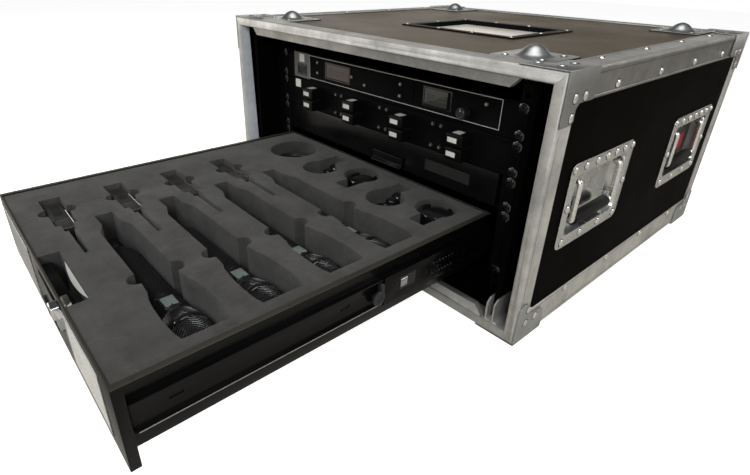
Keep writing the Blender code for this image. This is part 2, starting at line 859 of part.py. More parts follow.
def make_bail(name, side, middle):
    """A wire bail with a thick grip, hanging from pins in the ends of its dish."""
    place = bail_pivot(side, middle)
    holder = axis_empty(name + "_axis", place)
    half = bail_span / 2
    pin = mouth_length / 2 - dish_draft * 0.62 - fit_gap * 1.5
    grip = grip_length / 2
    thick = grip_diameter / bail_wire
    route = [(-pin, 0, 1), (-half - 1 * mm, 0, 1), (-half, -3 * mm, 1), (-half, -bail_drop + 5 * mm, 1),
             (-half + 2 * mm, -bail_drop, 1), (-grip - 0.6 * mm, -bail_drop, 1),
             (-grip, -bail_drop, thick * 0.86), (-grip + 2 * mm, -bail_drop, thick)]
    route += [(-y, z, radius) for y, z, radius in reversed(route)]
    points = [(place[0], place[1] + y, place[2] + z) for y, z, radius in route]
    made = tube(name, points, [radius for y, z, radius in route], bail_wire, 2)
    return dress(made, black_plastic(), holder)


def make_handles():
    for side, side_name in ((1, "right"), (-1, "left")):
        for middle, end_name in zip(handle_middles(), ("front", "rear")):
            make_dish("handle_dish_" + end_name + "_" + side_name, side, middle)
            make_bail("handle_bail_" + end_name + "_" + side_name, side, middle)


# Inside the case

def make_dividers():
    for side, side_name in ((1, "right"), (-1, "left")):
        near = side * divider_inner_half
        far = side * (divider_inner_half + divider_thickness)
        low_z = lip + sheet - 0.2 * mm + fit_gap
        high_z = case_height - lip - fit_gap
        back = case_depth - sheet - panel_thickness - fit_gap
        outline = corners((divider_front, low_z), (back, high_z))
        made = plate("divider_" + side_name, [outline], min(near, far), max(near, far), "x")
        dress(made, laminate())


def strip_hole_heights():
    """Holes above the first unit and below the fifth, at the rack's own spacing."""
    below = unit_bottom[4]
    above = rack_top
    half = rack_unit / 2
    return [below - bolt_from_unit_edge, below - half, above + bolt_from_unit_edge, above + half]


def make_rack_strips():
    for side, side_name in ((1, "right"), (-1, "left")):
        outer = divider_inner_half - fit_gap
        back = rack_front + strip_sheet
        leg_end = rack_front + strip_side_depth
        outline = [(strip_opening_half, rack_front), (outer, rack_front), (outer, leg_end),
                   (outer - strip_sheet, leg_end), (outer - strip_sheet, back), (strip_opening_half, back)]
        made = plate("rack_strip_" + side_name, [[(side * x, y) for x, y in outline]],
                     strip_bottom, strip_top, "z")
        for height in strip_hole_heights():
            hole = [circle((side * bolt_half_spacing, height), strip_hole / 2, 8)]
            cut(made, plate("strip hole", hole, rack_front - 2 * mm, back + 2 * mm, "y"))
        dress(made, black_steel())


def unit_face(unit, count=1):
    """Lowest and highest point of a face that fills one or more rack units."""
    low = unit_bottom[unit + count - 1] + unit_clearance
    high = unit_bottom[unit] + rack_unit - unit_clearance
    return low, high


def ear_slots(low, high, side):
    """The two bolt slots at one end of a face."""
    middle = side * bolt_half_spacing
    inset = bolt_from_unit_edge - unit_clearance
    made = []
    for height in (low + inset, high - inset):
        made.append(rounded((middle - 5 * mm, height - 3.3 * mm), (middle + 5 * mm, height + 3.3 * mm),
                            3.2 * mm, 1))
    return made


def face_with_slots(name, low, high):
    """A full-width face with bolt slots at both ends."""
    outlines = [corners((-ear_half_width, low), (ear_half_width, high))]
    outlines += ear_slots(low, high, 1) + ear_slots(low, high, -1)
    return plate(name, outlines, face_y, face_y + face_thickness, "y")


def single_ear(name, side, inner, low, high):
    """One ear that reaches from inner to the rack's width."""
    ends = sorted((side * inner, side * ear_half_width))
    outlines = [corners((ends[0], low), (ends[1], high))] + ear_slots(low, high, side)
    return plate(name, outlines, face_y, face_y + face_thickness, "y")


def make_receiver():
    low, high = unit_face(0)
    base = low - unit_clearance
    back = face_y + face_thickness
    made = face_with_slots("receiver", low, high)
    chassis = box("receiver chassis", (-chassis_half_width, back - 1 * mm, low + 1 * mm),
                  (chassis_half_width, back + receiver_depth, high - 1 * mm))
    outer = corners((receiver_frame_left, base + receiver_frame_low),
                    (receiver_frame_right, base + receiver_frame_high))
    inner = corners((receiver_frame_left + frame_line, base + receiver_frame_low + frame_line),
                    (receiver_frame_right - frame_line, base + receiver_frame_high - frame_line))
    line = plate("receiver frame", [outer, inner], face_y - frame_proud, face_y + 1 * mm, "y")
    join(made, chassis, line)
    middle = base + (receiver_frame_low + receiver_frame_high) / 2
    for number, left in enumerate(window_left_edges):
        cut(made, box("window " + str(number), (left, face_y - 1 * mm, middle - window_size[1] / 2),
                      (left + window_size[0], face_y + window_recess, middle + window_size[1] / 2)))
    rocker_low = base + rocker_height - rocker_size[1] / 2
    well_reach = rocker_size[0] / 2 + fit_gap
    well = box("rocker well", (rocker_x - well_reach, face_y - 1 * mm, rocker_low - fit_gap),
               (rocker_x + well_reach, face_y + rocker_body_depth + 2 * mm,
                rocker_low + rocker_size[1] + fit_gap))
    cut(made, well)
    dress(made, black_steel())
    make_knob(base)
    make_rocker(rocker_low)


def make_knob(base):
    height = base + knob_height
    holder = axis_empty("receiver_knob_axis", (knob_x, face_y, height))
    radius = knob_diameter / 2
    profile = [(0, radius), (knob_length * 0.8, radius * 0.94), (knob_length, radius * 0.8)]
    made = turned("receiver_knob", profile, 16, (knob_x, face_y - fit_gap, height), (0, -1, 0))
    dress(made, black_plastic(), holder)


def make_rocker(low):
    """A power rocker on its pin: a shallow V on a round-backed body."""
    middle = low + rocker_size[1] / 2
    holder = axis_empty("receiver_rocker_axis", (rocker_x, face_y + 2 * mm, middle))
    reach = rocker_size[1] / 2
    outline = [(face_y - rocker_proud, middle + reach - 0.8 * mm), (face_y - rocker_proud * 0.35, middle),
               (face_y - rocker_proud * 0.5, middle - reach + 0.8 * mm)]
    outline += [(face_y + 3 * mm, middle - reach + 1.6 * mm), (face_y + rocker_body_depth * 0.7, middle),
                (face_y + 3 * mm, middle + reach - 1.6 * mm)]
    half = rocker_size[0] / 2
    made = plate("receiver_rocker", [outline], rocker_x - half, rocker_x + half, "x")
    dress(made, black_plastic(), holder)


def bay_middles():
    return [bay_first_x + bay_pitch * n for n in range(bay_count)]


def bay_heights():
    """Lowest and highest point of a bay's two packs, around the unit's middle."""
    middle = unit_bottom[1] + rack_unit / 2 - 1 * mm
    total = pack_height * 2 + pack_split
    return middle - total / 2, middle + total / 2


def make_charger():
    low, high = unit_face(1)
    back = face_y + face_thickness
    made = face_with_slots("charger", low, high)
    join(made, box("charger chassis", (-chassis_half_width, back - 1 * mm, low + 1 * mm),
                   (chassis_half_width, back + charger_depth, high - 1 * mm)))
    bottom, top = bay_heights()
    for number, middle in enumerate(bay_middles()):
        reach = pack_width / 2 + bay_gap
        cut(made, box("bay " + str(number), (middle - reach, face_y - 1 * mm, bottom - bay_gap),
                      (middle + reach, face_y + pack_inside + bay_gap, top + bay_gap)))
        for offset in button_x_from_bay:
            for height in (bottom + 3 * mm, top - 3 * mm):
                key = turned("key", [(0, 2.2 * mm), (2.4 * mm, 1.8 * mm)], 8,
                             (middle + offset, face_y + 1 * mm, height), (0, -1, 0))
                if number < bay_count - 1:
                    join(made, key)
                else:
                    bpy.data.objects.remove(key, do_unlink=True)
    dress(made, black_steel())
    for number, middle in enumerate(bay_middles()):
        make_pack_pair(number, middle, bottom)


def make_pack_pair(number, middle, bottom):
    """The two battery packs that stand one above the other in a bay, touching at the back."""
    half = pack_width / 2
    front = face_y - pack_proud
    end = face_y + pack_inside
    bevel = 2 * mm
    step = pack_height + pack_split
    outline = []
    for base in (bottom, bottom + step):
        outline += [(front + bevel, base), (front, base + bevel), (front, base + pack_height - bevel),
                    (front + bevel, base + pack_height)]
        if base == bottom:
            outline += [(end - 4 * mm, base + pack_height), (end - 4 * mm, base + step)]
    outline += [(end, bottom + step + pack_height), (end, bottom)]
    made = plate("battery_packs_" + str(number + 1), [outline], middle - half, middle + half, "x")
    dress(made, black_plastic())


# Low drawer

def make_low_drawer():
    low, high = unit_face(2)
    back = face_y + face_thickness
    floor = low + 0.6 * mm
    wall = sleeve_half_width - sleeve_sheet
    sleeve = box("low_drawer_sleeve", (-sleeve_half_width, back - fit_gap, floor),
                 (sleeve_half_width, back + sleeve_depth, floor + sleeve_sheet))
    for side in (1, -1):
        ends = sorted((side * wall, side * sleeve_half_width))
        join(sleeve, box("sleeve wall", (ends[0], back - 1.2 * mm, floor),
                         (ends[1], back + sleeve_depth, high)))
        rail = sorted((side * (wall - runner_reach), side * (wall + 0.2 * mm)))
        rail_low = floor + runner_above_floor
        join(sleeve, box("sleeve rail", (rail[0], back + 6 * mm, rail_low),
                         (rail[1], back + sleeve_depth - 4 * mm, rail_low + runner_height)))
        join(sleeve, single_ear("sleeve ear", side, wall, low, high))
    dress(sleeve, black_steel())
    make_low_drawer_box(low, high, floor)


def make_low_drawer_box(low, high, floor):
    holder = axis_empty("low_drawer_axis", (0, face_y, (low + high) / 2))
    base = floor + sleeve_sheet + 1.2 * mm
    top = high - 3 * mm
    end = face_y + low_drawer_depth
    made = box("low_drawer", (-face_half_width, face_y, low + 0.2 * mm),
               (face_half_width, face_y + 2 * mm, high))
    tub = box("low tub", (-box_half_width, face_y + 1 * mm, base), (box_half_width, end, top))
    join(made, tub)
    for side in (1, -1):
        guide_out = sleeve_half_width - sleeve_sheet - fit_gap
        ends = sorted((side * (box_half_width - 0.5 * mm), side * guide_out))
        rail_low = floor + runner_above_floor
        rail_high = rail_low + runner_height
        for low_z in (rail_low - fit_gap - guide_thickness, rail_high + fit_gap):
            join(made, box("guide", (ends[0], face_y + 7 * mm, low_z),
                           (ends[1], end - 1 * mm, low_z + guide_thickness)))
    cut(made, box("low tub room", (-box_half_width + box_wall, face_y + 2 * mm, base + box_wall),
                  (box_half_width - box_wall, end - box_wall, top + 5 * mm)))
    cup_reach = low_paddle_width / 2 + 2 * mm
    cup_low = low + 2.2 * mm
    dress(made, black_steel(), holder)
    make_low_paddle(cup_low, cup_reach, holder)


def make_low_paddle(low, reach, holder):
    """A chrome pull that tips on the low drawer's face."""
    half = reach - 2 * mm
    top = low + low_paddle_height
    place = (latch_middle_x, face_y - fit_gap - paddle_sheet, top)
    pivot = axis_empty("low_drawer_latch_axis", place, holder)
    near = face_y - fit_gap
    outer = near - 2 * paddle_sheet
    lip_end = near - 8 * mm
    outline = [(near, low), (near, top), (near - paddle_sheet, top + 1 * mm), (outer, top),
               (outer, low + 5 * mm), (lip_end, low + 1.5 * mm), (lip_end, low)]
    made = plate("low_drawer_latch", [outline], latch_middle_x - half, latch_middle_x + half, "x")
    dress(made, chrome(), pivot)


# Deep drawer

def make_tray():
    """Folded sheet: front face, tub, outward flanges and the slides' inner members."""
    holder = axis_empty("deep_drawer_axis", (0, open_y, slide_middle_z))
    inside = tray_half_width - tray_wall
    made = box("drawer_tray", (-tray_half_width, open_y + 1 * mm, tray_floor),
               (tray_half_width, tray_back, tray_top))
    room = box("tray room", (-inside, open_y + face_sheet, tray_floor + tray_wall),
               (inside, tray_back - tray_wall, tray_top + 5 * mm))
    cut(made, room)
    join(made, box("tray face", (-face_half_width, open_y, face_bottom),
                   (face_half_width, open_y + face_sheet, tray_top)))
    for side in (1, -1):
        ends = sorted((side * (face_half_width - face_sheet), side * face_half_width))
        join(made, box("face return", (ends[0], open_y + 0.5 * mm, face_bottom),
                       (ends[1], open_y + face_return, tray_top)))
        rim = sorted((side * (tray_half_width - 1 * mm), side * (tray_half_width + tray_flange)))
        join(made, box("tray flange", (rim[0], open_y + 1 * mm, tray_top - tray_wall),
                       (rim[1], tray_back, tray_top)))
        join(made, inner_member(side))
    join(made, box("face foot", (-face_half_width, open_y + 0.5 * mm, face_bottom),
                   (face_half_width, open_y + face_return, face_bottom + face_sheet)))
    cut(made, box("latch hole", (latch_middle_x - latch_cup_width / 2, open_y - 1 * mm, latch_low()),
                  (latch_middle_x + latch_cup_width / 2, open_y + 3 * mm, latch_low() + latch_cup_height)))
    join(made, *latch_cup())
    join(made, latch_block())
    dress(made, black_steel(), holder)
    return holder


def latch_block():
    """The catch that stands behind the face, beside the latch."""
    near = open_y + face_sheet - 0.5 * mm
    far = open_y + face_sheet + latch_block_thickness
    half = latch_block_width / 2
    top = tray_top + latch_block_rise
    step = near + 0.9 * mm
    outline = [(near, top - latch_block_length), (near, tray_top - 2 * mm), (step, tray_top - 2 * mm),
               (step, top - 1 * mm), (near + 2 * mm, top), (far, top), (far, top - latch_block_length)]
    return plate("latch block", [outline], latch_block_x - half, latch_block_x + half, "x")


def latch_low():
    return latch_high() - latch_cup_height


def latch_high():
    return tray_top - 11 * mm


def latch_cup():
    """Five walls of the cup behind the paddle."""
    left = latch_middle_x - latch_cup_width / 2
    right = latch_middle_x + latch_cup_width / 2
    wall = latch_cup_sheet
    front = open_y + 0.5 * mm
    back = open_y + latch_cup_depth
    low = latch_low()
    high = latch_high()
    return [
        box("cup left", (left - wall, front, low - wall), (left, back, high + wall)),
        box("cup right", (right, front, low - wall), (right + wall, back, high + wall)),
        box("cup low", (left - wall, front, low - wall), (right + wall, back, low)),
        box("cup high", (left - wall, front, high), (right + wall, back, high + wall)),
        box("cup back", (left - wall, back - wall, low - wall), (right + wall, back, high + wall)),
    ]


def channel(name, side, back, tip, outer_half, start, end):
    """A C-shaped slide member: its web's outer face is at back, its flanges end at tip."""
    inside = back + math.copysign(slide_sheet, tip - back)
    low = slide_middle_z - outer_half
    high = slide_middle_z + outer_half
    outline = [(back, low), (tip, low), (tip, low + slide_sheet), (inside, low + slide_sheet),
               (inside, high - slide_sheet), (tip, high - slide_sheet), (tip, high), (back, high)]
    return plate(name, [[(side * x, z) for x, z in outline]], start, end, "y")


def slide_halves():
    """Half heights of the outer, middle and inner members, nested with a gap."""
    outer = slide_height / 2
    mid = outer - slide_sheet - fit_gap
    inner = mid - slide_sheet - fit_gap
    return outer, mid, inner


def inner_member(side):
    half = slide_halves()[2]
    web = tray_half_width - 0.2 * mm
    made = channel("inner member", side, web, tray_half_width + member_reach, half,
                   open_y + face_return + 1 * mm, tray_back - 2 * mm)
    for along in (open_y + 40 * mm, open_y + 215 * mm):
        ends = sorted((side * (web - 2 * mm), side * (web + 4 * mm)))
        cut(made, box("slot", (ends[0], along, slide_middle_z - 2 * mm),
                      (ends[1], along + 12 * mm, slide_middle_z + 2 * mm)))
    return settle(made)


def make_slides(drawer):
    outer_half, mid_half, inner_half = slide_halves()
    open_shift = drawer_travel / 2
    for side, side_name in ((1, "right"), (-1, "left")):
        start = rack_front + slide_mid_set_back - open_shift
        holder = axis_empty("slide_mid_" + side_name + "_axis", (0, start, slide_middle_z))
        web = tray_half_width + member_reach + fit_gap
        mid = channel("slide_mid_" + side_name, side, web + slide_sheet, tray_half_width + member_set_off,
                      mid_half, start, start + slide_mid_length)
        window = sorted((side * (web - 2 * mm), side * (web + 4 * mm)))
        cut(mid, box("mid window", (window[0], start + 26 * mm, slide_middle_z - 4 * mm),
                     (window[1], start + 46 * mm, slide_middle_z + 4 * mm)))
        dress(mid, black_steel(), holder)
        make_outer_member(side, side_name, outer_half)


def make_outer_member(side, side_name, half):
    """The fixed member, its mounting bracket and the bracket's two-unit rack ear."""
    back = rack_front - fit_gap
    start = face_y + face_return + slide_behind_face
    made = channel("slide_outer_" + side_name, side, slide_outer_x, tray_half_width + member_set_off,
                   half, start, start + slide_outer_length)
    plate_ends = sorted((side * (slide_outer_x - 0.2 * mm), side * (slide_outer_x + slide_sheet)))
    low = slide_middle_z - bracket_height / 2
    join(made, box("bracket", (plate_ends[0], back - face_thickness + 0.5 * mm, low),
                   (plate_ends[1], start + slide_outer_length - 6 * mm, low + bracket_height)))
    ear_low, ear_high = unit_face(3, 2)
    join(made, single_ear("bracket ear", side, slide_outer_x, ear_low, ear_high))
    dress(made, black_steel())


def pocket(name, outlines, depth_or_floor):
    return plate(name, outlines, depth_or_floor, foam_top + 5 * mm, "z")


def mic_shape(shares, room):
    """(distance from the tail, radius) pairs from shares of the length and the head's radius."""
    head = mic_head_diameter / 2
    return [(along * mic_length, reach * head + room) for along, reach in shares]


def mic_pocket_outline(middle):
    """The microphone's own outline with room round it: narrow tail, barrel, wide head."""
    reach = mic_shape(mic_pocket_profile, mic_pocket_room)
    far = [(mic_tail_x + along, middle + half) for along, half in reach]
    near = [(mic_tail_x + along, middle - half) for along, half in reversed(reach)]
    return far + near


def make_foam(holder):
    """Two blocks, with every pocket cut to the shape of what lies in it."""
    inside = tray_half_width - tray_wall - fit_gap
    low = tray_floor + tray_wall + fit_gap
    made = box("foam_front", (-inside, open_y + face_sheet + fit_gap, low),
               (inside, foam_split_y, foam_top))
    for number in range(mic_count):
        middle = mic_first_y + mic_pitch * number
        cut(made, pocket("mic pocket", [mic_pocket_outline(middle)], pocket_floor))
        for way in (1, -1):
            spot = (mic_tail_x + notch_share * mic_length, middle + way * notch_reach)
            cut(made, pocket("finger notch", [circle(spot, notch_radius, 10)], pocket_floor + 15 * mm))
    for number in range(mic_count):
        cut_pack_pocket(made, pack_first_y + pack_pitch * number)
    well_front = open_y + face_sheet
    cut(made, box("latch well", (latch_well_left, well_front - 2 * mm, foam_top - latch_well_depth),
                  (latch_well_right, well_front + latch_well_length, foam_top + 5 * mm)))
    dress(made, foam_grey(), holder)
    rear = box("foam_rear", (-inside, foam_split_y + fit_gap, low),
               (inside, tray_back - tray_wall - fit_gap, foam_top))
    coil_floor = foam_top - coil_pocket_depth
    cut(rear, pocket("coil pocket", [circle(coil_middle, coil_pocket_radius, 20)], coil_floor))
    for x, way in clip_pockets:
        cut_clip_pocket(rear, x, way)
    dress(rear, foam_grey(), holder)


def cut_clip_pocket(foam, x, way):
    """A round hole for a clip's jaws and a square stub for its foot."""
    floor = foam_top - clip_depth
    round_y = clip_middle_y - way * clip_offset
    cut(foam, pocket("clip pocket", [circle((x, round_y), clip_radius, 16)], floor))
    stub_x = x - way * 10 * mm
    ends = sorted((round_y, round_y + way * (clip_radius + clip_stub[1])))
    outline = corners((stub_x - clip_stub[0] / 2, ends[0]), (stub_x + clip_stub[0] / 2, ends[1]))
    cut(foam, pocket("clip stub", [outline], floor + 6 * mm))


def cut_pack_pocket(foam, middle):
    length, width, height = body_pack_size
    right = body_pack_left + length
    room = body_pack_room
    floor = foam_top - height - body_pack_below_foam
    reach = width / 2 + room
    outline = corners((body_pack_left - room, middle - reach), (right + room, middle + reach))
    cut(foam, pocket("pack pocket", [outline], floor))
    reach = socket_width / 2 + room
    socket = corners((right, middle - reach), (right + socket_length, middle + reach))
    cut(foam, pocket("socket pocket", [socket], foam_top - socket_pocket_depth))
    aerial_end = right + socket_length + aerial_length
    half = aerial_pocket_width / 2
    channel_line = corners((right, middle - half), (aerial_end, middle + half))
    cut(foam, pocket("aerial pocket", [channel_line], foam_top - aerial_pocket_depth))
    for way in (1, -1):
        spot = (body_pack_left + body_pack_notch_along, middle + way * (width / 2 + 1 * mm))
        cut(foam, pocket("finger notch", [circle(spot, notch_radius, 10)], floor + body_pack_notch_step))


def make_mics(holder):
    profile = mic_shape(mic_profile, 0)
    axis_z = pocket_floor + fit_gap + mic_head_diameter / 2
    for number in range(mic_count):
        place = (mic_tail_x, mic_first_y + mic_pitch * number, axis_z)
        made = turned("microphone_" + str(number + 1), profile, mic_sides, place, (1, 0, 0))
        dress(made, black_plastic(), holder)


def make_body_packs(holder):
    length, width, height = body_pack_size
    floor = foam_top - height - body_pack_below_foam + fit_gap
    top = floor + height
    right = body_pack_left + length
    for number in range(mic_count):
        middle = pack_first_y + pack_pitch * number
        name = "body_pack_" + str(number + 1)
        outline = rounded((body_pack_left, floor), (right, top), body_pack_corner)
        made = plate(name, [outline], middle - width / 2, middle + width / 2, "y")
        socket_z = top - socket_below_top
        socket = [(0, socket_width / 2), (socket_length - 2 * mm, socket_width / 2 - 1 * mm)]
        join(made, turned("socket", socket, 10, (right - 1 * mm, middle, socket_z), (1, 0, 0)))
        aerial = [(0, aerial_width / 2), (aerial_length + 8 * mm, aerial_width / 2 - 0.3 * mm)]
        join(made, turned("aerial", aerial, 8, (right + 8 * mm, middle, socket_z), (1, 0, 0)))
        dress(made, black_plastic(), holder)


def coil_points():
    """Loops that spiral in on the first layer and out again on the next."""
    points = []
    per_turn = 24
    step = cable_diameter * 1.14
    base = foam_top - coil_pocket_depth + fit_gap + cable_diameter / 2
    total = coil_turns_per_layer * coil_layers
    for n in range(total * per_turn + 1):
        turn = n / per_turn
        layer = min(int(turn // coil_turns_per_layer), coil_layers - 1)
        inward = turn - layer * coil_turns_per_layer
        if layer % 2:
            inward = coil_turns_per_layer - inward
        radius = coil_outer_radius - cable_diameter / 2 - step * inward
        climb_start = coil_turns_per_layer * (layer + 1) - 0.25
        climb = 0.0
        if layer:
            climb = 1.0
        if abs(turn - coil_turns_per_layer) <= 0.25:
            share = (turn - (coil_turns_per_layer - 0.25)) / 0.5
            climb = share * share * (3 - 2 * share)
        angle = 2 * math.pi * turn
        points.append((coil_middle[0] + radius * math.cos(angle), coil_middle[1] + radius * math.sin(angle),
                       base + climb * cable_diameter * 1.16))
    return points


def coil_gap(points):
    """Least clear distance between stretches of the cable that aren't neighbours."""
    least = 1.0
    for first in range(len(points)):
        for second in range(first + 8, len(points)):
            span = Vector(points[first]) - Vector(points[second])
            least = min(least, span.length)
    return least - cable_diameter


def make_coil(holder):
    points = coil_points()
    print("coil's least gap to itself, mm:", round(coil_gap(points) / mm, 2))
    made = tube("coiled_cable", points, [1] * len(points), cable_diameter, 1)
    dress(made, black_plastic(), holder)


def make_latch(holder):
    """The paddle in its cup."""
    left = latch_middle_x - latch_cup_width / 2 + paddle_gap
    right = latch_middle_x + latch_cup_width / 2 - paddle_gap
    top = latch_high() - 2 * mm
    bottom = latch_low() + 3 * mm
    place = (latch_middle_x, open_y + 2.5 * mm, top - 1.5 * mm)
    pivot = axis_empty("drawer_latch_axis", place, holder)
    outer = open_y - latch_proud
    outline = [(open_y + 4 * mm, top), (open_y + 1 * mm, top), (open_y + 0.5 * mm, bottom + 6 * mm),
               (outer, bottom + 3 * mm), (outer, bottom), (open_y + 2.5 * mm, bottom + 3.4 * mm),
               (open_y + 4 * mm, bottom + 6 * mm)]
    made = plate("drawer_latch_paddle", [outline], left, right, "x")
    join(made, box("knuckle", (right - paddle_knuckle, outer + 1 * mm, bottom + 11 * mm),
                   (right - 1 * mm, open_y + 3 * mm, top - 1 * mm)))
    pin_left = latch_middle_x - latch_cup_width / 2 + fit_gap
    pin = [(0, paddle_pin / 2), (latch_cup_width - 2 * fit_gap, paddle_pin / 2)]
    join(made, turned("paddle pin", pin, 8, (pin_left, place[1], place[2]), (1, 0, 0)))
    dress(made, chrome(), pivot)


clear_scene()
parts = new_collection(parts_name)
cutters = new_collection("Cutters")
origin = bpy.data.objects.new("case_origin", None)
parts.objects.link(origin)
origin.location = (0, -origin_y, foot_height)

make_panels()
make_extrusions()
make_braces()
make_stacking_plates()
make_label_dish()
make_handles()
make_dividers()
make_rack_strips()
make_receiver()
make_charger()
make_low_drawer()
deep_drawer = make_tray()
make_slides(deep_drawer)
make_foam(deep_drawer)
make_mics(deep_drawer)
make_body_packs(deep_drawer)
make_coil(deep_drawer)
make_latch(deep_drawer)
bpy.context.view_layer.update()
solids = [piece for piece in parts.objects if piece.type == "MESH"]
print("pieces:", len(solids))
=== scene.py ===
import json
import math

import bmesh
import bpy
from mathutils import Matrix, Vector


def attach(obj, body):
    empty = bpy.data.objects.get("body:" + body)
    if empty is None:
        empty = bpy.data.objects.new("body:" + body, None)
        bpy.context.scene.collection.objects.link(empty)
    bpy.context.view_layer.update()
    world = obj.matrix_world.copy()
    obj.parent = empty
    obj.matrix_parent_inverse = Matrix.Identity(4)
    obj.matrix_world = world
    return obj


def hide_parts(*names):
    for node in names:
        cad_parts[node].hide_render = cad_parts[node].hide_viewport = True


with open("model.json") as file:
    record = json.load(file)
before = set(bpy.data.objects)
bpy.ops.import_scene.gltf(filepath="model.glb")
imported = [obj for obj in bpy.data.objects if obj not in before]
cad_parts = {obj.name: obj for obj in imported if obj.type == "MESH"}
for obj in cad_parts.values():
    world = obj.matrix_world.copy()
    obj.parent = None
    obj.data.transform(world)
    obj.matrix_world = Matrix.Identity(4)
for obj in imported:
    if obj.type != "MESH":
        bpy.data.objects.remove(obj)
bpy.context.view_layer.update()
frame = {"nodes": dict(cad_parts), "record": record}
print("frame loaded")

# Everything below is placed in the case's own millimetres: X right, Y into the case, Z up
millimetre = 0.001
caseOrigin = Vector((0, -0.07325, 0.0015))
toWorld = Matrix.Translation(caseOrigin) @ Matrix.Scale(millimetre, 4)
fromWorld = toWorld.inverted()
bodyOf = {node: body for body, nodes in frame["record"]["behaviour"]["bodies"].items() for node in nodes}
sides = ((1, "right"), (-1, "left"))
ends = ("front", "rear")
outward, upward = (0, -1, 0), (0, 0, 1)            # the way the front looks, and up
caseLook = {"depth": 560, "half": 300}


# Materials

class Wire:
    def __init__(self, finish, socket):
        self.finish = finish
        self.socket = socket

    def maths(self, operation, other):
        return self.finish.node("ShaderNodeMath", {"operation": operation}, {0: self, 1: other})

    def __add__(self, other):
        return self.maths("ADD", other)

    def __sub__(self, other):
        return self.maths("SUBTRACT", other)

    def __mul__(self, other):
        return self.maths("MULTIPLY", other)

    def __abs__(self):
        return self.maths("ABSOLUTE", 0.0)


class Finish:
    def __init__(self, name, slot, colour=(0.5, 0.5, 0.5), roughness=0.5, metallic=0.0, **sockets):
        self.slot = slot
        self.material = bpy.data.materials.new(name)
        self.material.use_nodes = True
        self.tree = self.material.node_tree
        self.shader = self.tree.nodes["Principled BSDF"]
        self.feed("Base Color", (*colour, 1))
        self.feed("Roughness", roughness)
        self.feed("Metallic", metallic)
        for key, value in sockets.items():
            self.feed(key.replace("_", " "), value)

    def node(self, kind, settings, sockets, out=0):
        made = self.tree.nodes.new(kind)
        for key, value in settings.items():
            if key == "stops":
                while len(made.color_ramp.elements) < len(value):
                    made.color_ramp.elements.new(0.5)
                for element, (position, colour) in zip(made.color_ramp.elements, value):
                    element.position = position
                    element.color = (*colour, 1)
            else:
                setattr(made, key, value)
        for key, value in sockets.items():
            self.plug(made.inputs[key], value)
        return Wire(self, made.outputs[out])

    def plug(self, target, value):
        if isinstance(value, Wire):
            self.tree.links.new(value.socket, target)
        else:
            target.default_value = value

    def feed(self, name, value):
        self.plug(self.shader.inputs[name], value)

    def spot(self, scale=(1, 1, 1)):
        place = self.node("ShaderNodeTexCoord", {}, {}, "Object")
        return self.node("ShaderNodeMapping", {}, {"Vector": place, "Scale": scale})

    def noise(self, scale, detail=3.0, roughness=0.5, stretch=(1, 1, 1), distortion=0.0):
        sockets = {"Vector": self.spot(stretch), "Scale": scale, "Detail": detail, "Roughness": roughness,
                   "Distortion": distortion}
        return self.node("ShaderNodeTexNoise", {}, sockets)

    def cells(self, scale, feature="F1", stretch=(1, 1, 1)):
        return self.node("ShaderNodeTexVoronoi", {"feature": feature},
                         {"Vector": self.spot(stretch), "Scale": scale}, "Distance")

    def blend(self, factor, first, second):
        first, second = (tone if isinstance(tone, Wire) else (*tone, 1) for tone in (first, second))
        return self.node("ShaderNodeMix", {"data_type": "RGBA"}, {0: factor, 6: first, 7: second}, 2)

    def between(self, value, low, high, fromLow=0.0, fromHigh=1.0):
        return self.node("ShaderNodeMapRange", {"clamp": True},
                         {0: value, 1: fromLow, 2: fromHigh, 3: low, 4: high})

    def mask(self, value, fromLow, fromHigh):
        return self.between(value, 0, 1, fromLow, fromHigh)

    def bump(self, height, strength, distance):
        sockets = {"Height": height, "Strength": strength, "Distance": distance}
        self.feed("Normal", self.node("ShaderNodeBump", {}, sockets))
        return self


# Colours of the larger surfaces, and how many grains to a metre and how deep
laminateLook = {
    "dark": (0.038, 0.0235, 0.008), "pale": (0.082, 0.053, 0.022), "pebbles": 420, "depth": 0.0007,
    "sideDark": (0.0012, 0.0011, 0.001), "sidePale": (0.0036, 0.0033, 0.003), "sidePebbles": 900,
    "sideDepth": 0.00012,
}
metalLook = {"aluminium": (0.76, 0.76, 0.74), "stained": (0.44, 0.44, 0.425), "zinc": (0.50, 0.515, 0.52),
             "speck": (0.22, 0.21, 0.19)}
paintLook = {"black": (0.002, 0.002, 0.0022), "dust": (0.012, 0.0115, 0.0105), "bolt": (0.035, 0.035, 0.037)}
foamLook = {"dark": (0.028, 0.027, 0.0258), "pale": (0.066, 0.0635, 0.0605), "worn": (0.125, 0.121, 0.115),
            "cell": 1100}


def shaded(colour, share):
    return tuple(channel * share for channel in colour)


def laminateFinish(name, pebbles, depth, shine, dark, pale, gloss, tint):
    made = Finish(name, "laminate", Specular_IOR_Level=gloss, Specular_Tint=(tint, tint, tint * 0.96, 1))
    grain = made.cells(pebbles, "SMOOTH_F1")
    fine = made.noise(pebbles * 3.1, 2.0)
    cloud = made.noise(9, 4.0, 0.6)
    scuff = made.mask(made.noise(26, 6.0, 0.72, (1, 0.35, 1), 0.6), 0.60, 0.78)
    base = made.blend(scuff * 0.35, made.blend(cloud, dark, pale), shaded(pale, 2.2))
    made.feed("Base Color", made.blend(made.between(grain, 0, 0.8, 0.25, 0.6), base, shaded(dark, 0.5)))
    made.feed("Roughness", made.between(cloud, shine, shine + 0.12, 0.3, 0.7) + scuff * 0.12)
    return made.bump(grain * 0.8 + fine * 0.25, 0.75, depth)


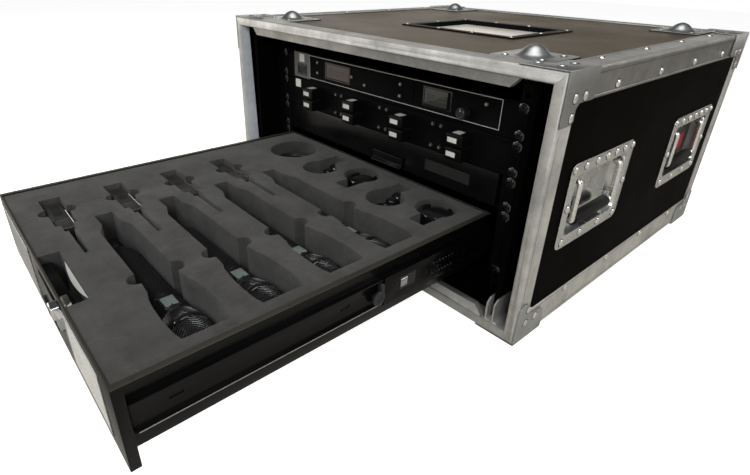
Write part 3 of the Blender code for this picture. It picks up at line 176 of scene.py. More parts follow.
def metalFinish(name, slot, clean, stained, roughness, stretch=(1, 1, 1), scratchCount=70, wear=1.0, metallic=1.0):
    made = Finish(name, slot, metallic=metallic)
    stain = made.mask(made.noise(17, 7.0, 0.68), 0.36, 0.68)
    smear = made.noise(240, 3.0, 0.6, stretch)
    line = abs(made.noise(scratchCount, 2.0, 0.5, (1, 0.5, 1), 1.4) - 0.5)
    scratch = made.between(line, 1, 0, 0.0, 0.006)
    speck = made.mask(made.noise(620, 2.0, 0.5), 0.66, 0.74)
    base = made.blend(stain, clean, stained)
    made.feed("Base Color", made.blend(speck * 0.5, base, metalLook["speck"]))
    made.feed("Roughness", stain * 0.14 + smear * 0.12 + roughness - scratch * 0.1)
    return made.bump(smear * 0.35 + stain * 0.3 - scratch * 0.8, 0.25 * wear, 0.00025)


def paintFinish(name, slot, colour, roughness, peel=900, depth=0.00006, gloss=0.5, dusty=(0.06, 0.057, 0.053)):
    made = Finish(name, slot, colour, Specular_IOR_Level=gloss)
    skin = made.noise(peel, 2.0, 0.5)
    cloud = made.noise(14, 5.0, 0.62)
    dust = made.mask(made.noise(75, 6.0, 0.75), 0.6, 0.85)
    pale = tuple(channel * 1.5 + 0.002 for channel in colour)
    made.feed("Base Color", made.blend(dust * 0.45, made.blend(cloud, colour, pale), dusty))
    made.feed("Roughness", made.between(cloud, roughness - 0.06, roughness + 0.08, 0.3, 0.7) + dust * 0.1)
    return made.bump(skin, 0.4, depth)


def plainFinish(name, slot, colour, roughness, metallic=0.0, speckle=0.25, **sockets):
    made = Finish(name, slot, colour, metallic=metallic, **sockets)
    cloud = made.noise(160, 4.0, 0.6)
    made.feed("Base Color", made.blend(cloud, shaded(colour, 1 - speckle), colour))
    made.feed("Roughness", made.between(cloud, roughness - 0.05, roughness + 0.07, 0.3, 0.7))
    return made.bump(made.noise(1400, 2.0), 0.15, 0.00004)


def foamFinish():
    made = Finish("cutFoam", "foam", roughness=0.96, Sheen_Weight=0.12, Sheen_Roughness=0.5)
    cloud = made.mask(made.noise(24, 6.0, 0.7), 0.32, 0.7)
    pores = made.cells(foamLook["cell"])
    crumbs = made.noise(foamLook["cell"] * 0.55, 3.0, 0.7)
    rub = made.mask(made.noise(46, 5.0, 0.8, (1, 0.4, 1), 0.8), 0.56, 0.8)
    wall = made.noise(420, 2.0, 0.5, (1, 1, 0.04))
    base = made.blend(cloud, foamLook["dark"], foamLook["pale"])
    made.feed("Base Color", made.blend(rub * 0.35, base, foamLook["worn"]))
    return made.bump(pores * 0.6 + crumbs * 0.8 + wall * 0.5, 0.8, 0.0006)


def glassFinish(name, colour, paintedGlow):
    made = Finish(name, "instrument_housing", colour, 0.08, Coat_Weight=1.0, Coat_Roughness=0.04)
    cloud = made.noise(55, 3.0)
    made.feed("Base Color", made.blend(cloud, colour, shaded(colour, 1.6)))
    made.feed("Roughness", made.between(cloud, 0.05, 0.14))
    # The emission is painted light: painted reflections in the receiver's windows, amber in the left one, and a
    # painted glow on the microphones' displays
    made.feed("Emission Color", made.blend(cloud, paintedGlow, shaded(paintedGlow, 0.5)))
    made.feed("Emission Strength", 1.0)
    return made


def faintGlowFinish(name, colour, strength):
    made = Finish(name, "instrument_housing", colour, 0.3)
    ring = made.noise(900, 1.0)
    made.feed("Emission Color", made.blend(ring, colour, shaded(colour, 0.8)))
    made.feed("Emission Strength", strength)
    return made


def labelFinish():
    made = Finish("paperLabel", "instrument_housing", (0.7, 0.69, 0.66), 0.55)
    fibre = made.noise(700, 4.0, 0.7)
    smudge = made.mask(made.noise(35, 5.0, 0.7), 0.5, 0.8)
    base = made.blend(fibre, (0.62, 0.61, 0.58), (0.76, 0.75, 0.72))
    made.feed("Base Color", made.blend(smudge * 0.6, base, (0.40, 0.38, 0.35)))
    made.feed("Roughness", made.between(fibre, 0.4, 0.6))
    return made.bump(fibre, 0.25, 0.0001)


def cardFinish():
    made = Finish("labelCard", "laminate", (0.5, 0.47, 0.42), 0.5, Coat_Weight=1.0, Coat_Roughness=0.28)
    stain = made.mask(made.noise(22, 6.0, 0.7), 0.35, 0.7)
    fleck = made.mask(made.noise(330, 4.0, 0.7), 0.4, 0.65)
    base = made.blend(stain, (0.95, 0.90, 0.82), (0.70, 0.65, 0.58))
    made.feed("Base Color", made.blend(fleck * 0.4, base, (0.88, 0.86, 0.80)))
    made.feed("Roughness", made.between(fleck, 0.30, 0.5))
    return made.bump(fleck, 0.3, 0.0001)


def ruledFinish(name, level):
    made = Finish(name, "black_steel", (level, level, level), 0.35)
    height = made.node("ShaderNodeSeparateXYZ", {}, {0: made.spot()}, "Z")
    wave = made.node("ShaderNodeMath", {"operation": "FRACT"}, {0: height * 160.0})
    row = made.between(abs(wave - 0.5), 1, 0, 0.06, 0.12)
    mottle = made.mask(made.noise(260, 3.0, 0.6, (1, 1, 0.2)), 0.42, 0.6)
    smudge = made.mask(made.noise(30, 5.0, 0.7), 0.5, 0.8)
    pale, grey = (shaded((1.0, 0.99, 0.95), level * share) for share in (1.0, 0.24))
    base = made.blend(row * mottle * 0.9, pale, grey)
    made.feed("Base Color", made.blend(smudge * 0.4, base, shaded((0.62, 0.61, 0.57), level)))
    made.feed("Roughness", made.between(mottle, 0.30, 0.42))
    return made.bump(made.noise(500, 3.0, 0.6), 0.15, 0.00006)


def rubberFinish():
    made = Finish("gripRubber", "rubber_grip", (0.003, 0.003, 0.003), 0.62, Specular_IOR_Level=0.2)
    fine = made.noise(900, 3.0, 0.6)
    dust = made.mask(made.noise(60, 6.0, 0.75), 0.55, 0.8)
    made.feed("Base Color", made.blend(dust * 0.4, (0.0025, 0.0025, 0.0026), (0.02, 0.0195, 0.018)))
    made.feed("Roughness", made.between(fine, 0.45, 0.7) + dust * 0.1)
    return made.bump(fine, 0.5, 0.00012)


finishes = {
    "topLaminate": laminateFinish("pebbledLaminate", laminateLook["pebbles"], laminateLook["depth"], 0.34,
                                  laminateLook["dark"], laminateLook["pale"], 0.28, 0.95),
    "sideLaminate": laminateFinish("sideLaminate", laminateLook["sidePebbles"], laminateLook["sideDepth"], 0.42,
                                   laminateLook["sideDark"], laminateLook["sidePale"], 0.008, 0.5),
    "aluminium": metalFinish("wornAluminium", "aluminium", metalLook["aluminium"], metalLook["stained"], 0.38,
                             (1, 0.06, 1)),
    "frameAluminium": metalFinish("frameAluminium", "aluminium", metalLook["aluminium"], metalLook["stained"], 0.42,
                                  (0.5, 1, 0.12)),
    # A pale, bluish, almost unmetallic aluminium for the far post's inner face: painted reflection
    "paintedReflectionAluminium": metalFinish("paintedReflectionAluminium", "aluminium", (0.86, 0.90, 0.95), (0.58, 0.62, 0.68), 0.42,
                                 (0.5, 1, 0.12), metallic=0.1),
    # Darker copies of aluminium and, below, of zinc, for side faces near the top: painted shade
    "paintedShadeAluminium": metalFinish("paintedShadeAluminium", "aluminium", (0.34, 0.34, 0.33), (0.21, 0.21, 0.205), 0.30,
                                 (1, 0.04, 1)),
    "zinc": metalFinish("zincPlate", "zinc_plate", metalLook["zinc"], (0.40, 0.42, 0.43), 0.26, wear=0.6),
    "paintedShadeBraceZinc": metalFinish("paintedShadeBraceZinc", "zinc_plate", (0.36, 0.37, 0.375), (0.25, 0.26, 0.265), 0.30, wear=0.6),
    "dishZinc": metalFinish("dishZinc", "zinc_plate", (0.68, 0.69, 0.68), (0.52, 0.53, 0.52), 0.15, wear=0.2),
    "paintedShadeZinc": metalFinish("paintedShadeZinc", "zinc_plate", (0.22, 0.22, 0.22), (0.14, 0.14, 0.14), 0.22, wear=0.3),
    "rivet": metalFinish("rivetHeads", "zinc_plate", (0.92, 0.92, 0.90), (0.70, 0.70, 0.68), 0.16, wear=0.3),
    "blackSteel": paintFinish("blackSteel", "black_steel", paintLook["black"], 0.38, gloss=0.03,
                              dusty=paintLook["dust"]),
    "glossSteel": paintFinish("glossBlackSteel", "black_steel", paintLook["black"], 0.22, 500, 0.00004, 0.18,
                              (0.014, 0.0135, 0.0125)),
    "slideSteel": plainFinish("slideSteel", "black_steel", (0.014, 0.014, 0.015), 0.24, 0.9, 0.08),
    "boltSteel": plainFinish("boltSteel", "black_steel", paintLook["bolt"], 0.22, 1.0),
    "cageSteel": plainFinish("cageSteel", "black_steel", paintLook["bolt"], 0.28, 1.0),
    "paintedLightRimSteel": paintFinish("paintedLightRimSteel", "black_steel", (0.030, 0.027, 0.021), 0.36, gloss=0.3),
    "brightSteel": plainFinish("brightSteel", "black_steel", (0.55, 0.55, 0.56), 0.24, 1.0),
    "housing": paintFinish("instrumentPaint", "instrument_housing", paintLook["black"], 0.40, gloss=0.03,
                           dusty=paintLook["dust"]),
    "greyHousing": paintFinish("greyPaint", "instrument_housing", (0.075, 0.076, 0.078), 0.42),
    "paleGrey": paintFinish("paleGreyPaint", "instrument_housing", (0.34, 0.345, 0.325), 0.42),
    "paleButton": plainFinish("paleButton", "instrument_housing", (0.30, 0.30, 0.29), 0.35),
    "paleLine": plainFinish("paleLine", "instrument_housing", (0.52, 0.52, 0.50), 0.4),
    "cellPlastic": plainFinish("cellPlastic", "black_plastic", (0.0035, 0.0035, 0.0036), 0.36,
                               Specular_IOR_Level=0.15),
    "plastic": plainFinish("satinPlastic", "black_plastic", (0.013, 0.013, 0.014), 0.40),
    "packPlastic": plainFinish("packPlastic", "black_plastic", (0.030, 0.028, 0.027), 0.46),
    "glossPlastic": plainFinish("glossPlastic", "black_plastic", (0.008, 0.008, 0.009), 0.12, Coat_Weight=0.6),
    "micPaint": plainFinish("microphonePaint", "black_plastic", (0.012, 0.012, 0.0125), 0.30, 0.3),
    "paleSteel": plainFinish("paleSteel", "black_steel", (0.80, 0.80, 0.76), 0.26, 0.1, 0.12),
    "chrome": plainFinish("chromePlate", "chrome_plate", (0.80, 0.80, 0.80), 0.10, 1.0, 0.08),
    "foam": foamFinish(),
    "grip": rubberFinish(),
    "cable": plainFinish("cableSheath", "cable_sheath", (0.010, 0.010, 0.011), 0.38),
    "amberReflectionWindow": glassFinish("amberReflectionWindow", (0.020, 0.010, 0.006), (0.013, 0.0062, 0.003)),
    "greyWindow": glassFinish("greyWindow", (0.015, 0.0148, 0.012), (0.008, 0.0078, 0.0065)),
    "packDisplay": glassFinish("packDisplay", (0.10, 0.12, 0.11), (0.05, 0.06, 0.055)),
    # The display segments glow faintly though the display is not lit: a painted glow
    "segment": faintGlowFinish("displaySegments", (0.035, 0.04, 0.04), 0.25),
    "dimLamp": faintGlowFinish("dimLamp", (0.10, 0.105, 0.10), 0.2),
    "grilleWire": plainFinish("grilleWire", "black_plastic", (0.10, 0.10, 0.10), 0.32, 1.0),
    "darkLabel": plainFinish("darkLabel", "black_steel", (0.012, 0.012, 0.012), 0.5),
    "label": labelFinish(),
    "card": cardFinish(),
    "ruledLabel": ruledFinish("ruledLabel", 0.88),
    # A darker copy of the ruled label, for the far label: painted shade
    "paintedShadeLabel": ruledFinish("paintedShadeRuledLabel", 0.40),
    "redPatch": plainFinish("redPatch", "zinc_plate", (0.48, 0.030, 0.028), 0.4),
    # Plain black, also used as painted shade: rings round rivet heads, an outline under the stacking plates, bolt
    # sockets, the keeper's window
    "blackAndPaintedShade": plainFinish("blackWithPaintedShade", "black_plastic", (0.003, 0.003, 0.003), 0.8),
}
print("materials made:", len(finishes))


# Modelling helpers

def newShape():
    return bmesh.new()


def bevelEdges(shape, edges, width, segments):
    bmesh.ops.bevel(shape, geom=edges, offset=width, offset_type="OFFSET", segments=segments, profile=0.5,
                    affect="EDGES", clamp_overlap=True, material=-1)


def addBox(shape, low, high, rounding=0.0, segments=2):
    made = bmesh.ops.create_cube(shape, size=1)["verts"]
    size = [max(b - a, 0.01) for a, b in zip(low, high)]
    bmesh.ops.scale(shape, vec=size, verts=made)
    bmesh.ops.translate(shape, vec=[(a + b) / 2 for a, b in zip(low, high)], verts=made)
    if rounding:
        edges = list({edge for vert in made for edge in vert.link_edges})
        bevelEdges(shape, edges, min(rounding, min(size) * 0.48), segments)


def addPanel(shape, low, high, front, back, *rounding):
    # low and high are corners in X and Z
    addBox(shape, (low[0], front, low[1]), (high[0], back, high[1]), *rounding)


def addFlank(shape, side, across, along, heights, *rounding):
    left, right = sorted((side * across[0], side * across[1]))
    addBox(shape, (left, along[0], heights[0]), (right, along[1], heights[1]), *rounding)


def addBoxes(shape, origin, boxes):
    x, y, z = origin
    for index, (near, far), half, (low, high), *rounding in boxes:
        corners = (x + near, y - half, z + low), (x + far, y + half, z + high)
        tinted(shape, index, addBox, *corners, *rounding)


def grown(low, high, by):
    return (low[0] - by, low[1] - by), (high[0] + by, high[1] + by)


def addFrame(shape, low, high, wall, front, back):
    (left, bottom), (right, top) = low, high       # a rim of four bars round an opening, in X and Z
    under, over = bottom + wall * 0.8, top - wall * 0.8
    for corner, across in (((left, top - wall), (right, top)), ((left, bottom), (right, bottom + wall)),
                           ((left, under), (left + wall, over)), ((right - wall, under), (right, over))):
        addPanel(shape, corner, across, front, back, 0.25, 1)


def turnTo(axis):
    return Vector(upward).rotation_difference(Vector(axis).normalized()).to_matrix().to_4x4()


def addTurned(shape, profile, centre, axis, steps=20, sweep=math.tau):
    before = set(shape.verts)                      # the profile is (along the axis, radius)
    line = [shape.verts.new((radius, 0, along)) for along, radius in profile]
    edges = [shape.edges.new(pair) for pair in zip(line, line[1:])]
    bmesh.ops.spin(shape, geom=line + edges, cent=(0, 0, 0), axis=upward, dvec=(0, 0, 0),
                   angle=sweep, steps=steps, use_merge=sweep == math.tau, use_duplicate=False)
    made = [vert for vert in shape.verts if vert not in before]
    bmesh.ops.transform(shape, matrix=Matrix.Translation(centre) @ turnTo(axis), verts=made)
    bmesh.ops.remove_doubles(shape, verts=made, dist=1e-4)


def addRod(shape, start, end, radius, tip, steps):
    span = Vector(end) - Vector(start)
    place = Matrix.Translation((Vector(start) + Vector(end)) / 2) @ turnTo(span)
    bmesh.ops.create_cone(shape, cap_ends=True, cap_tris=False, segments=steps, radius1=radius, radius2=tip,
                          depth=span.length, matrix=place)


def addBall(shape, centre, radius, steps):
    bmesh.ops.create_uvsphere(shape, u_segments=steps, v_segments=steps // 2, radius=radius,
                              matrix=Matrix.Translation(centre))


def addOutline(shape, points, low, high, across="z", rounding=0.0):
    turn = {"y": lambda a, b, c: (a, c, b), "z": lambda a, b, c: (a, b, c)}[across]
    line = [shape.verts.new(turn(a, b, low)) for a, b in points]
    face = shape.faces.new(line)
    pulled = bmesh.ops.extrude_face_region(shape, geom=[face])["geom"]
    top = [item for item in pulled if isinstance(item, bmesh.types.BMVert)]
    bmesh.ops.translate(shape, vec=turn(0, 0, high - low), verts=top)
    if rounding:
        edges = {edge for vert in line + top for edge in vert.link_edges if edge.calc_face_angle(0) > 0.4}
        bevelEdges(shape, list(edges), rounding, 2)


def joinShape(shape, part):
    mesh = bpy.data.meshes.new("joined")
    part.to_mesh(mesh)
    part.free()
    shape.from_mesh(mesh)
    bpy.data.meshes.remove(mesh)


def tinted(shape, index, add, *sizes):
    part = newShape()                              # what add makes takes the piece's finish number index
    add(part, *sizes)
    for face in part.faces:
        face.material_index = index
    joinShape(shape, part)


def ringPoints(centre, radius, count, start=0.0, sweep=math.tau):
    full = abs(sweep - math.tau) < 1e-6
    steps = count if full else count - 1
    return [(centre[0] + radius * math.cos(start + sweep * n / steps),
             centre[1] + radius * math.sin(start + sweep * n / steps)) for n in range(count)]


def placePiece(name, data, body, replaced=()):
    made = bpy.data.objects.new(name, data)
    bpy.context.scene.collection.objects.link(made)
    if replaced:
        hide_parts(*replaced)
    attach(made, body)
    return made


def makePiece(shape, name, finish, body, angle=32, inWorld=False, replaced=(), parts=()):
    bmesh.ops.remove_doubles(shape, verts=shape.verts, dist=1e-6 if inWorld else 1e-4)
    if not inWorld:
        bmesh.ops.transform(shape, matrix=toWorld, verts=shape.verts)
    bmesh.ops.recalc_face_normals(shape, faces=shape.faces)
    mesh = bpy.data.meshes.new(name)
    shape.to_mesh(mesh)
    shape.free()
    for key in (finish, *parts):
        mesh.materials.append(finishes[key].material)
    mesh.polygons.foreach_set("use_smooth", [True] * len(mesh.polygons))
    mesh.set_sharp_from_angle(angle=math.radians(angle))
    return placePiece(name, mesh, body, replaced)


def makeWire(points, radius, name, finish, body):
    curve = bpy.data.curves.new(name, "CURVE")
    curve.dimensions = "3D"
    curve.bevel_depth = radius * millimetre
    curve.bevel_resolution = 4
    curve.use_fill_caps = True
    line = curve.splines.new("POLY")
    line.points.add(len(points) - 1)
    for point, place in zip(line.points, points):
        point.co = (*(toWorld @ Vector(place)), 1)
    line.use_smooth = True
    curve.materials.append(finishes[finish].material)
    return placePiece(name, curve, body)


def roundEdges(shape, width, segments):
    bmesh.ops.dissolve_limit(shape, angle_limit=math.radians(1.2), verts=shape.verts, edges=shape.edges)
    sharp = [edge for edge in shape.edges if edge.is_manifold and edge.calc_face_angle(0) > math.radians(25)]
    bevelEdges(shape, sharp, width, segments)
    bmesh.ops.triangulate(shape, faces=[face for face in shape.faces if len(face.verts) > 4])


def roundedCopy(node, finish, width, segments=2, angle=32, rules=(), shifts=()):
    shape = newShape()                             # a node's own form with rounded edges
    shape.from_mesh(frame["nodes"][node].data)
    for chosen, shift in shifts:
        for vert in shape.verts:
            if chosen(fromWorld @ vert.co):
                vert.co += Vector(shift) * millimetre
    bmesh.ops.remove_doubles(shape, verts=shape.verts, dist=1e-6)
    roundEdges(shape, width * millimetre, segments)
    for number, (other, chosen) in enumerate(rules, 1):
        for face in shape.faces:
            if chosen(fromWorld @ face.calc_center_median()):
                face.material_index = number
    return makePiece(shape, node + "_skin", finish, bodyOf[node], angle, True, (node,),
                     [other for other, chosen in rules])


def paintNode(node, finish):
    solid = frame["nodes"][node]
    solid.data.materials.clear()
    solid.data.materials.append(finishes[finish].material)


# Regions of a solid that take another finish or move a little, as ranges in the case's millimetres

def within(x=None, y=None, z=None):
    spans = [(axis, span) for axis, span in enumerate((x, y, z)) if span]
    return lambda place: all(low < place[axis] < high for axis, (low, high) in spans)


def onBrace(place):
    return abs(place.x) > 300.2 or place.z > 315.2 or place.z < -0.2


def onInnerLeg(place):
    return 23.5 < place.y < 24.5 and (abs(place.x) > 285.0 or place.z > 299.8) and not 10 < place.z < 50


# Case shell: the frame's inner leg comes further forward than in the solid
shellLook = {
    "farPost": within(x=(-295, -270), y=(0.5, 560)), "paintedShadeSide": within(z=(160, 313.4)),
    "recess": within(x=(-297, 297)), "legShift": (0, -7, 0), "panels": ("bottom", "left", "right", "rear"),
    "rounded": 0.3, "braceRounded": 0.35, "dishRounded": 0.5, "labelRounded": 0.4, "dishAngle": 40,
}

paintNode("top_panel", "topLaminate")
for panel in shellLook["panels"]:
    paintNode(panel + "_panel", "sideLaminate")
for side, sideName in sides:
    paintNode("divider_" + sideName, "sideLaminate")
rounded = shellLook["rounded"]
# The far post's inner face takes a pale, bluish, almost unmetallic aluminium: a painted reflection
roundedCopy("front_frame", "frameAluminium", rounded, rules=(("paintedReflectionAluminium", shellLook["farPost"]),),
            shifts=((onInnerLeg, shellLook["legShift"]),))
roundedCopy("rear_frame", "frameAluminium", rounded, rules=(("zinc", onBrace),))
for up in ("top", "bottom"):
    for side, sideName in sides:
        corner = "%s_%s" % (up, sideName)
        # The side faces of the top edges and of the top corner braces take darker copies of their metal: painted
        # shade
        roundedCopy("edge_" + corner, "aluminium", rounded, rules=(("paintedShadeAluminium", shellLook["paintedShadeSide"]),))
        roundedCopy("corner_front_" + corner, "zinc", shellLook["braceRounded"],
                    rules=(("paintedShadeBraceZinc", shellLook["paintedShadeSide"]),))
# The rear dishes' recesses take a darker zinc than the front ones: painted shade
for end, paintedRearShade in (("front", ()), ("rear", (("paintedShadeZinc", shellLook["recess"]),))):
    for side, sideName in sides:
        roundedCopy("handle_dish_%s_%s" % (end, sideName), "dishZinc", shellLook["dishRounded"],
                    angle=shellLook["dishAngle"], rules=paintedRearShade)
roundedCopy("label_dish", "blackSteel", shellLook["labelRounded"], angle=shellLook["dishAngle"])
for side, sideName in sides:
    roundedCopy("rack_strip_" + sideName, "blackSteel", rounded)
print("case shell dressed")


# Inside the rack: the receiver's frame line is thinner and higher than in its solid, the catch block
# stands further left than in the tray's
rackLook = {
    "front": 52.7, "plain": (("charger", "housing", 0.3), ("low_drawer_sleeve", "blackSteel", 0.25),
                             ("low_drawer", "glossSteel", 0.4), ("low_drawer_latch", "glossSteel", 0.5),
                             ("receiver_rocker", "plastic", 0.4)),
    "line": within(y=(0, 51.7), z=(222, 300)),
    "lineShifts": (
        (within(y=(0, 53), z=(260, 261)), (0, 0, 0.75)), (within(y=(0, 53), z=(227.2, 228.1)), (0, 0, -0.75)),
        (within((-160, -158.8), (0, 53), (222, 300)), (-0.75, 0, 0)),
        (within((203.8, 205), (0, 53), (222, 300)), (0.75, 0, 0)),
        (within((-163, 207.5), (0, 53), (225, 263.5)), (0, 0, 3.0))),
    # The catch block is painted near-white steel: a painted chrome reflection
    "catch": within((73, 89), (-402.2, -396), (102, 200)), "rim": within(z=(126.15, 200)),
    "catchShifts": ((within((80.3, 95.7), (-402.71, -396), (100, 200)), (-7, 0, 0)),),
}

for node, finish, width in rackLook["plain"]:
    roundedCopy(node, finish, width)
roundedCopy("receiver", "housing", 0.2, rules=(("paleLine", rackLook["line"]),), shifts=rackLook["lineShifts"])
# The tray rim's top faces take a lighter olive paint: a painted highlight
roundedCopy("drawer_tray", "glossSteel", 0.3, shifts=rackLook["catchShifts"],
            rules=(("paleSteel", rackLook["catch"]), ("paintedLightRimSteel", rackLook["rim"])))
for number in range(1, 5):
    roundedCopy("battery_packs_%d" % number, "cellPlastic", 0.8, 3)
for side, sideName in sides:
    roundedCopy("slide_outer_" + sideName, "blackSteel", 0.2)
    roundedCopy("slide_mid_" + sideName, "slideSteel", 0.2)
print("rack dressed")


# Rivets of the shell. A size is a head's radius and height
rivetLook = {
    "steps": 14, "railAlong": (113, 229, 343, 457), "railZ": (292, 33), "railX": 277, "railFace": 299.4,
    "railTop": 314.4, "railSize": (4.4, 2.4),
    "dishMiddles": (134, 426), "dishMiddleZ": 159.5, "dishFace": 299.6, "dishSize": (4.3, 2.5),
    "dishPlaces": ((-72, 46.5), (-47, 46.5), (-20, 46.5), (5, 46.5), (28, 46.5), (51, 46.5), (72, 46.5),
                   (-70.5, 0), (70.5, 0), (-66, -44.5), (-22, -44.5), (24, -44.5), (66, -44.5)),
    "bracePlaces": ((20, 289), (40, 289), (20, 270), (22, 42), (40, 25), (20, 24)), "braceFace": 301.5,
    "braceSize": (4.6, 1.3), "braceFlat": ((20, 18), (44, 18), (18, 42)), "braceTop": 316.5, "flatSize": (4.2, 1.5),
    "stackMiddles": ((226, 65), (226, 495)), "stackPlaces": (22, -22), "stackTop": 314.9, "stackSize": (3.8, 1.6),
    "labelMiddle": (28, 253), "labelTop": 314.6, "labelSize": (3.6, 1.5),
    "labelPlaces": ((-95.5, 75), (-31, 75), (31, 75), (95.5, 75), (-95.5, -75), (-31, -75), (31, -75), (95.5, -75),
                    (-95.5, 0), (95.5, 0)),
}


def addRivet(shape, place, axis, size):
    radius, dome = size
    head = [(-0.25, 0), (-0.25, radius), (0.22 * dome, radius), (0.62 * dome, radius * 0.82),
            (0.9 * dome, radius * 0.5), (dome, 0)]
    # The dark ring round the head, just proud of the surface, is a painted shadow
    shadow = [(0.03, radius * 0.9), (0.1, radius * 0.95), (0.1, radius * 1.12), (0.03, radius * 1.2)]
    tinted(shape, 0, addTurned, head, place, axis, rivetLook["steps"])
    tinted(shape, 1, addTurned, shadow, place, axis, rivetLook["steps"])


def addSideRivets(shape, side):
    look = rivetLook
    flank = (side, 0, 0)
    for along in look["railAlong"]:
        for height in look["railZ"]:
            addRivet(shape, (side * look["railFace"], along, height), flank, look["railSize"])
        addRivet(shape, (side * look["railX"], along, look["railTop"]), upward, look["railSize"])
    for middle in look["dishMiddles"]:
        for along, height in look["dishPlaces"]:
            place = (side * look["dishFace"], middle + along, look["dishMiddleZ"] + height)
            addRivet(shape, place, flank, look["dishSize"])
    for start, way in ((0, 1), (caseLook["depth"], -1)):
        for along, height in look["bracePlaces"]:
            addRivet(shape, (side * look["braceFace"], start + way * along, height), flank, look["braceSize"])
        for along, inset in look["braceFlat"]:
            place = (side * (caseLook["half"] - inset), start + way * along, look["braceTop"])
            addRivet(shape, place, upward, look["flatSize"])
    for middleX, middleY in look["stackMiddles"]:
        for across in look["stackPlaces"]:
            for along in look["stackPlaces"]:
                place = (side * middleX + across, middleY + along, look["stackTop"])
                addRivet(shape, place, upward, look["stackSize"])


def makeShellRivets():
    look = rivetLook
    shape = newShape()
    for side in (1, -1):
        addSideRivets(shape, side)
    for across, along in look["labelPlaces"]:
        place = (look["labelMiddle"][0] + across, look["labelMiddle"][1] + along, look["labelTop"])
        addRivet(shape, place, upward, look["labelSize"])
    makePiece(shape, "shell_rivets", "rivet", "case", parts=("blackAndPaintedShade",))


# Painted shadows: dark strips where the extrusions' raised borders step down to their flats
stepShadowLook = {
    "half": 0.35, "flank": (299.35, 299.46), "top": (314.35, 314.46), "length": (27.5, 532.5), "post": (62, 252),
    "reach": 238, "heights": (307.8, 286.6, 7.2, 34.4), "acrosses": (292.8, 271.6),
    "alongs": (7.2, 23.0, 552.8, 537.0),
}


def makeStepShadows():
    look = stepShadowLook
    half, flank, top, reach = look["half"], look["flank"], look["top"], look["reach"]
    shape = newShape()
    for side in (1, -1):
        for height in look["heights"]:
            addFlank(shape, side, flank, look["length"], (height - half, height + half))
        for across in look["acrosses"]:
            addFlank(shape, side, (across - half, across + half), look["length"], top)
        for along in look["alongs"]:
            addFlank(shape, side, flank, (along - half, along + half), look["post"])
    for along in look["alongs"]:
        addBox(shape, (-reach, along - half, top[0]), (reach, along + half, top[1]))
    makePiece(shape, "rail_step_shadows", "plastic", "case")


# Stacking plates, each a thin plate with a pressed cone that flares out at its foot
plateLook = {
    "middleX": 226, "middlesY": (65, 495), "half": 34.5, "corner": 3.5, "low": 313.2, "high": 314.9, "rounding": 0.3,
    "seam": 1.03, "shadowHigh": 314.15, "coneSteps": 40,
    "cone": ((0.0, 22.5), (0.4, 20.4), (1.1, 18.4), (2.2, 16.6), (3.8, 14.8), (5.6, 13.0), (7.4, 11.0), (9.0, 8.8),
             (10.3, 6.4), (11.3, 3.8), (11.8, 1.6), (11.9, 0)),
    "card": ((-55, 190, 307.7), (111, 316, 308.1)),
}


def plateOutline(middle, half, corner):
    points = []
    for turn, (across, up) in enumerate(((1, 1), (-1, 1), (-1, -1), (1, -1))):
        centre = (middle[0] + across * (half - corner), middle[1] + up * (half - corner))
        points += ringPoints(centre, corner, 5, turn * math.pi / 2, math.pi / 2)
    return points


def makeStackingPlates():
    look = plateLook
    for side, sideName in sides:
        for end, along in zip(ends, look["middlesY"]):
            shape = newShape()
            middle = Vector((side * look["middleX"], along))
            outline = plateOutline(middle, look["half"], look["corner"])
            addOutline(shape, outline, look["low"], look["high"], "z", look["rounding"])
            addTurned(shape, look["cone"], (*middle, look["high"]), upward, look["coneSteps"])
            # A dark outline a little wider than the plate, under its edge, is a painted shadow
            shadowOutline = [middle + (Vector(point) - middle) * look["seam"] for point in outline]
            tinted(shape, 1, addOutline, shadowOutline, look["low"], look["shadowHigh"])
            makePiece(shape, "stacking_plate_skin_%s_%s" % (end, sideName), "zinc", "case", 30,
                      replaced=("stacking_plate_%s_%s" % (end, sideName),), parts=("blackAndPaintedShade",))
    card = newShape()
    addBox(card, *look["card"], 0.2, 1)
    makePiece(card, "label_card", "card", "case")


# Bolts that hold each unit's ears: a washer, a head and a socket in it
boltLook = {
    "x": 232.55, "heights": (260.65, 228.9, 216.2, 184.45, 171.75, 140.0, 127.3, 51.1),
    "steps": 18, "socketSteps": 6,
    "washer": ((-0.2, 0), (-0.2, 6.6), (0.7, 6.6), (1.4, 5.4), (1.4, 0)),
    "head": ((1.2, 0), (1.2, 4.7), (1.9, 4.7), (2.7, 3.8), (3.0, 2.7), (2.8, 2.0)),
    "socket": ((2.8, 2.0), (1.5, 2.0), (1.5, 0)),
}


def makeRackBolts():
    look = boltLook
    shape = newShape()
    for side in (1, -1):
        for height in look["heights"]:
            place = (side * look["x"], rackLook["front"], height)
            tinted(shape, 1, addTurned, look["washer"], place, outward, look["steps"])
            tinted(shape, 0, addTurned, look["head"], place, outward, look["steps"])
            # The socket's walls and floor take the black: painted shade in the recess
            tinted(shape, 2, addTurned, look["socket"], place, outward, look["socketSteps"])
    makePiece(shape, "rack_bolts", "boltSteel", "case", parts=("glossPlastic", "blackAndPaintedShade"))


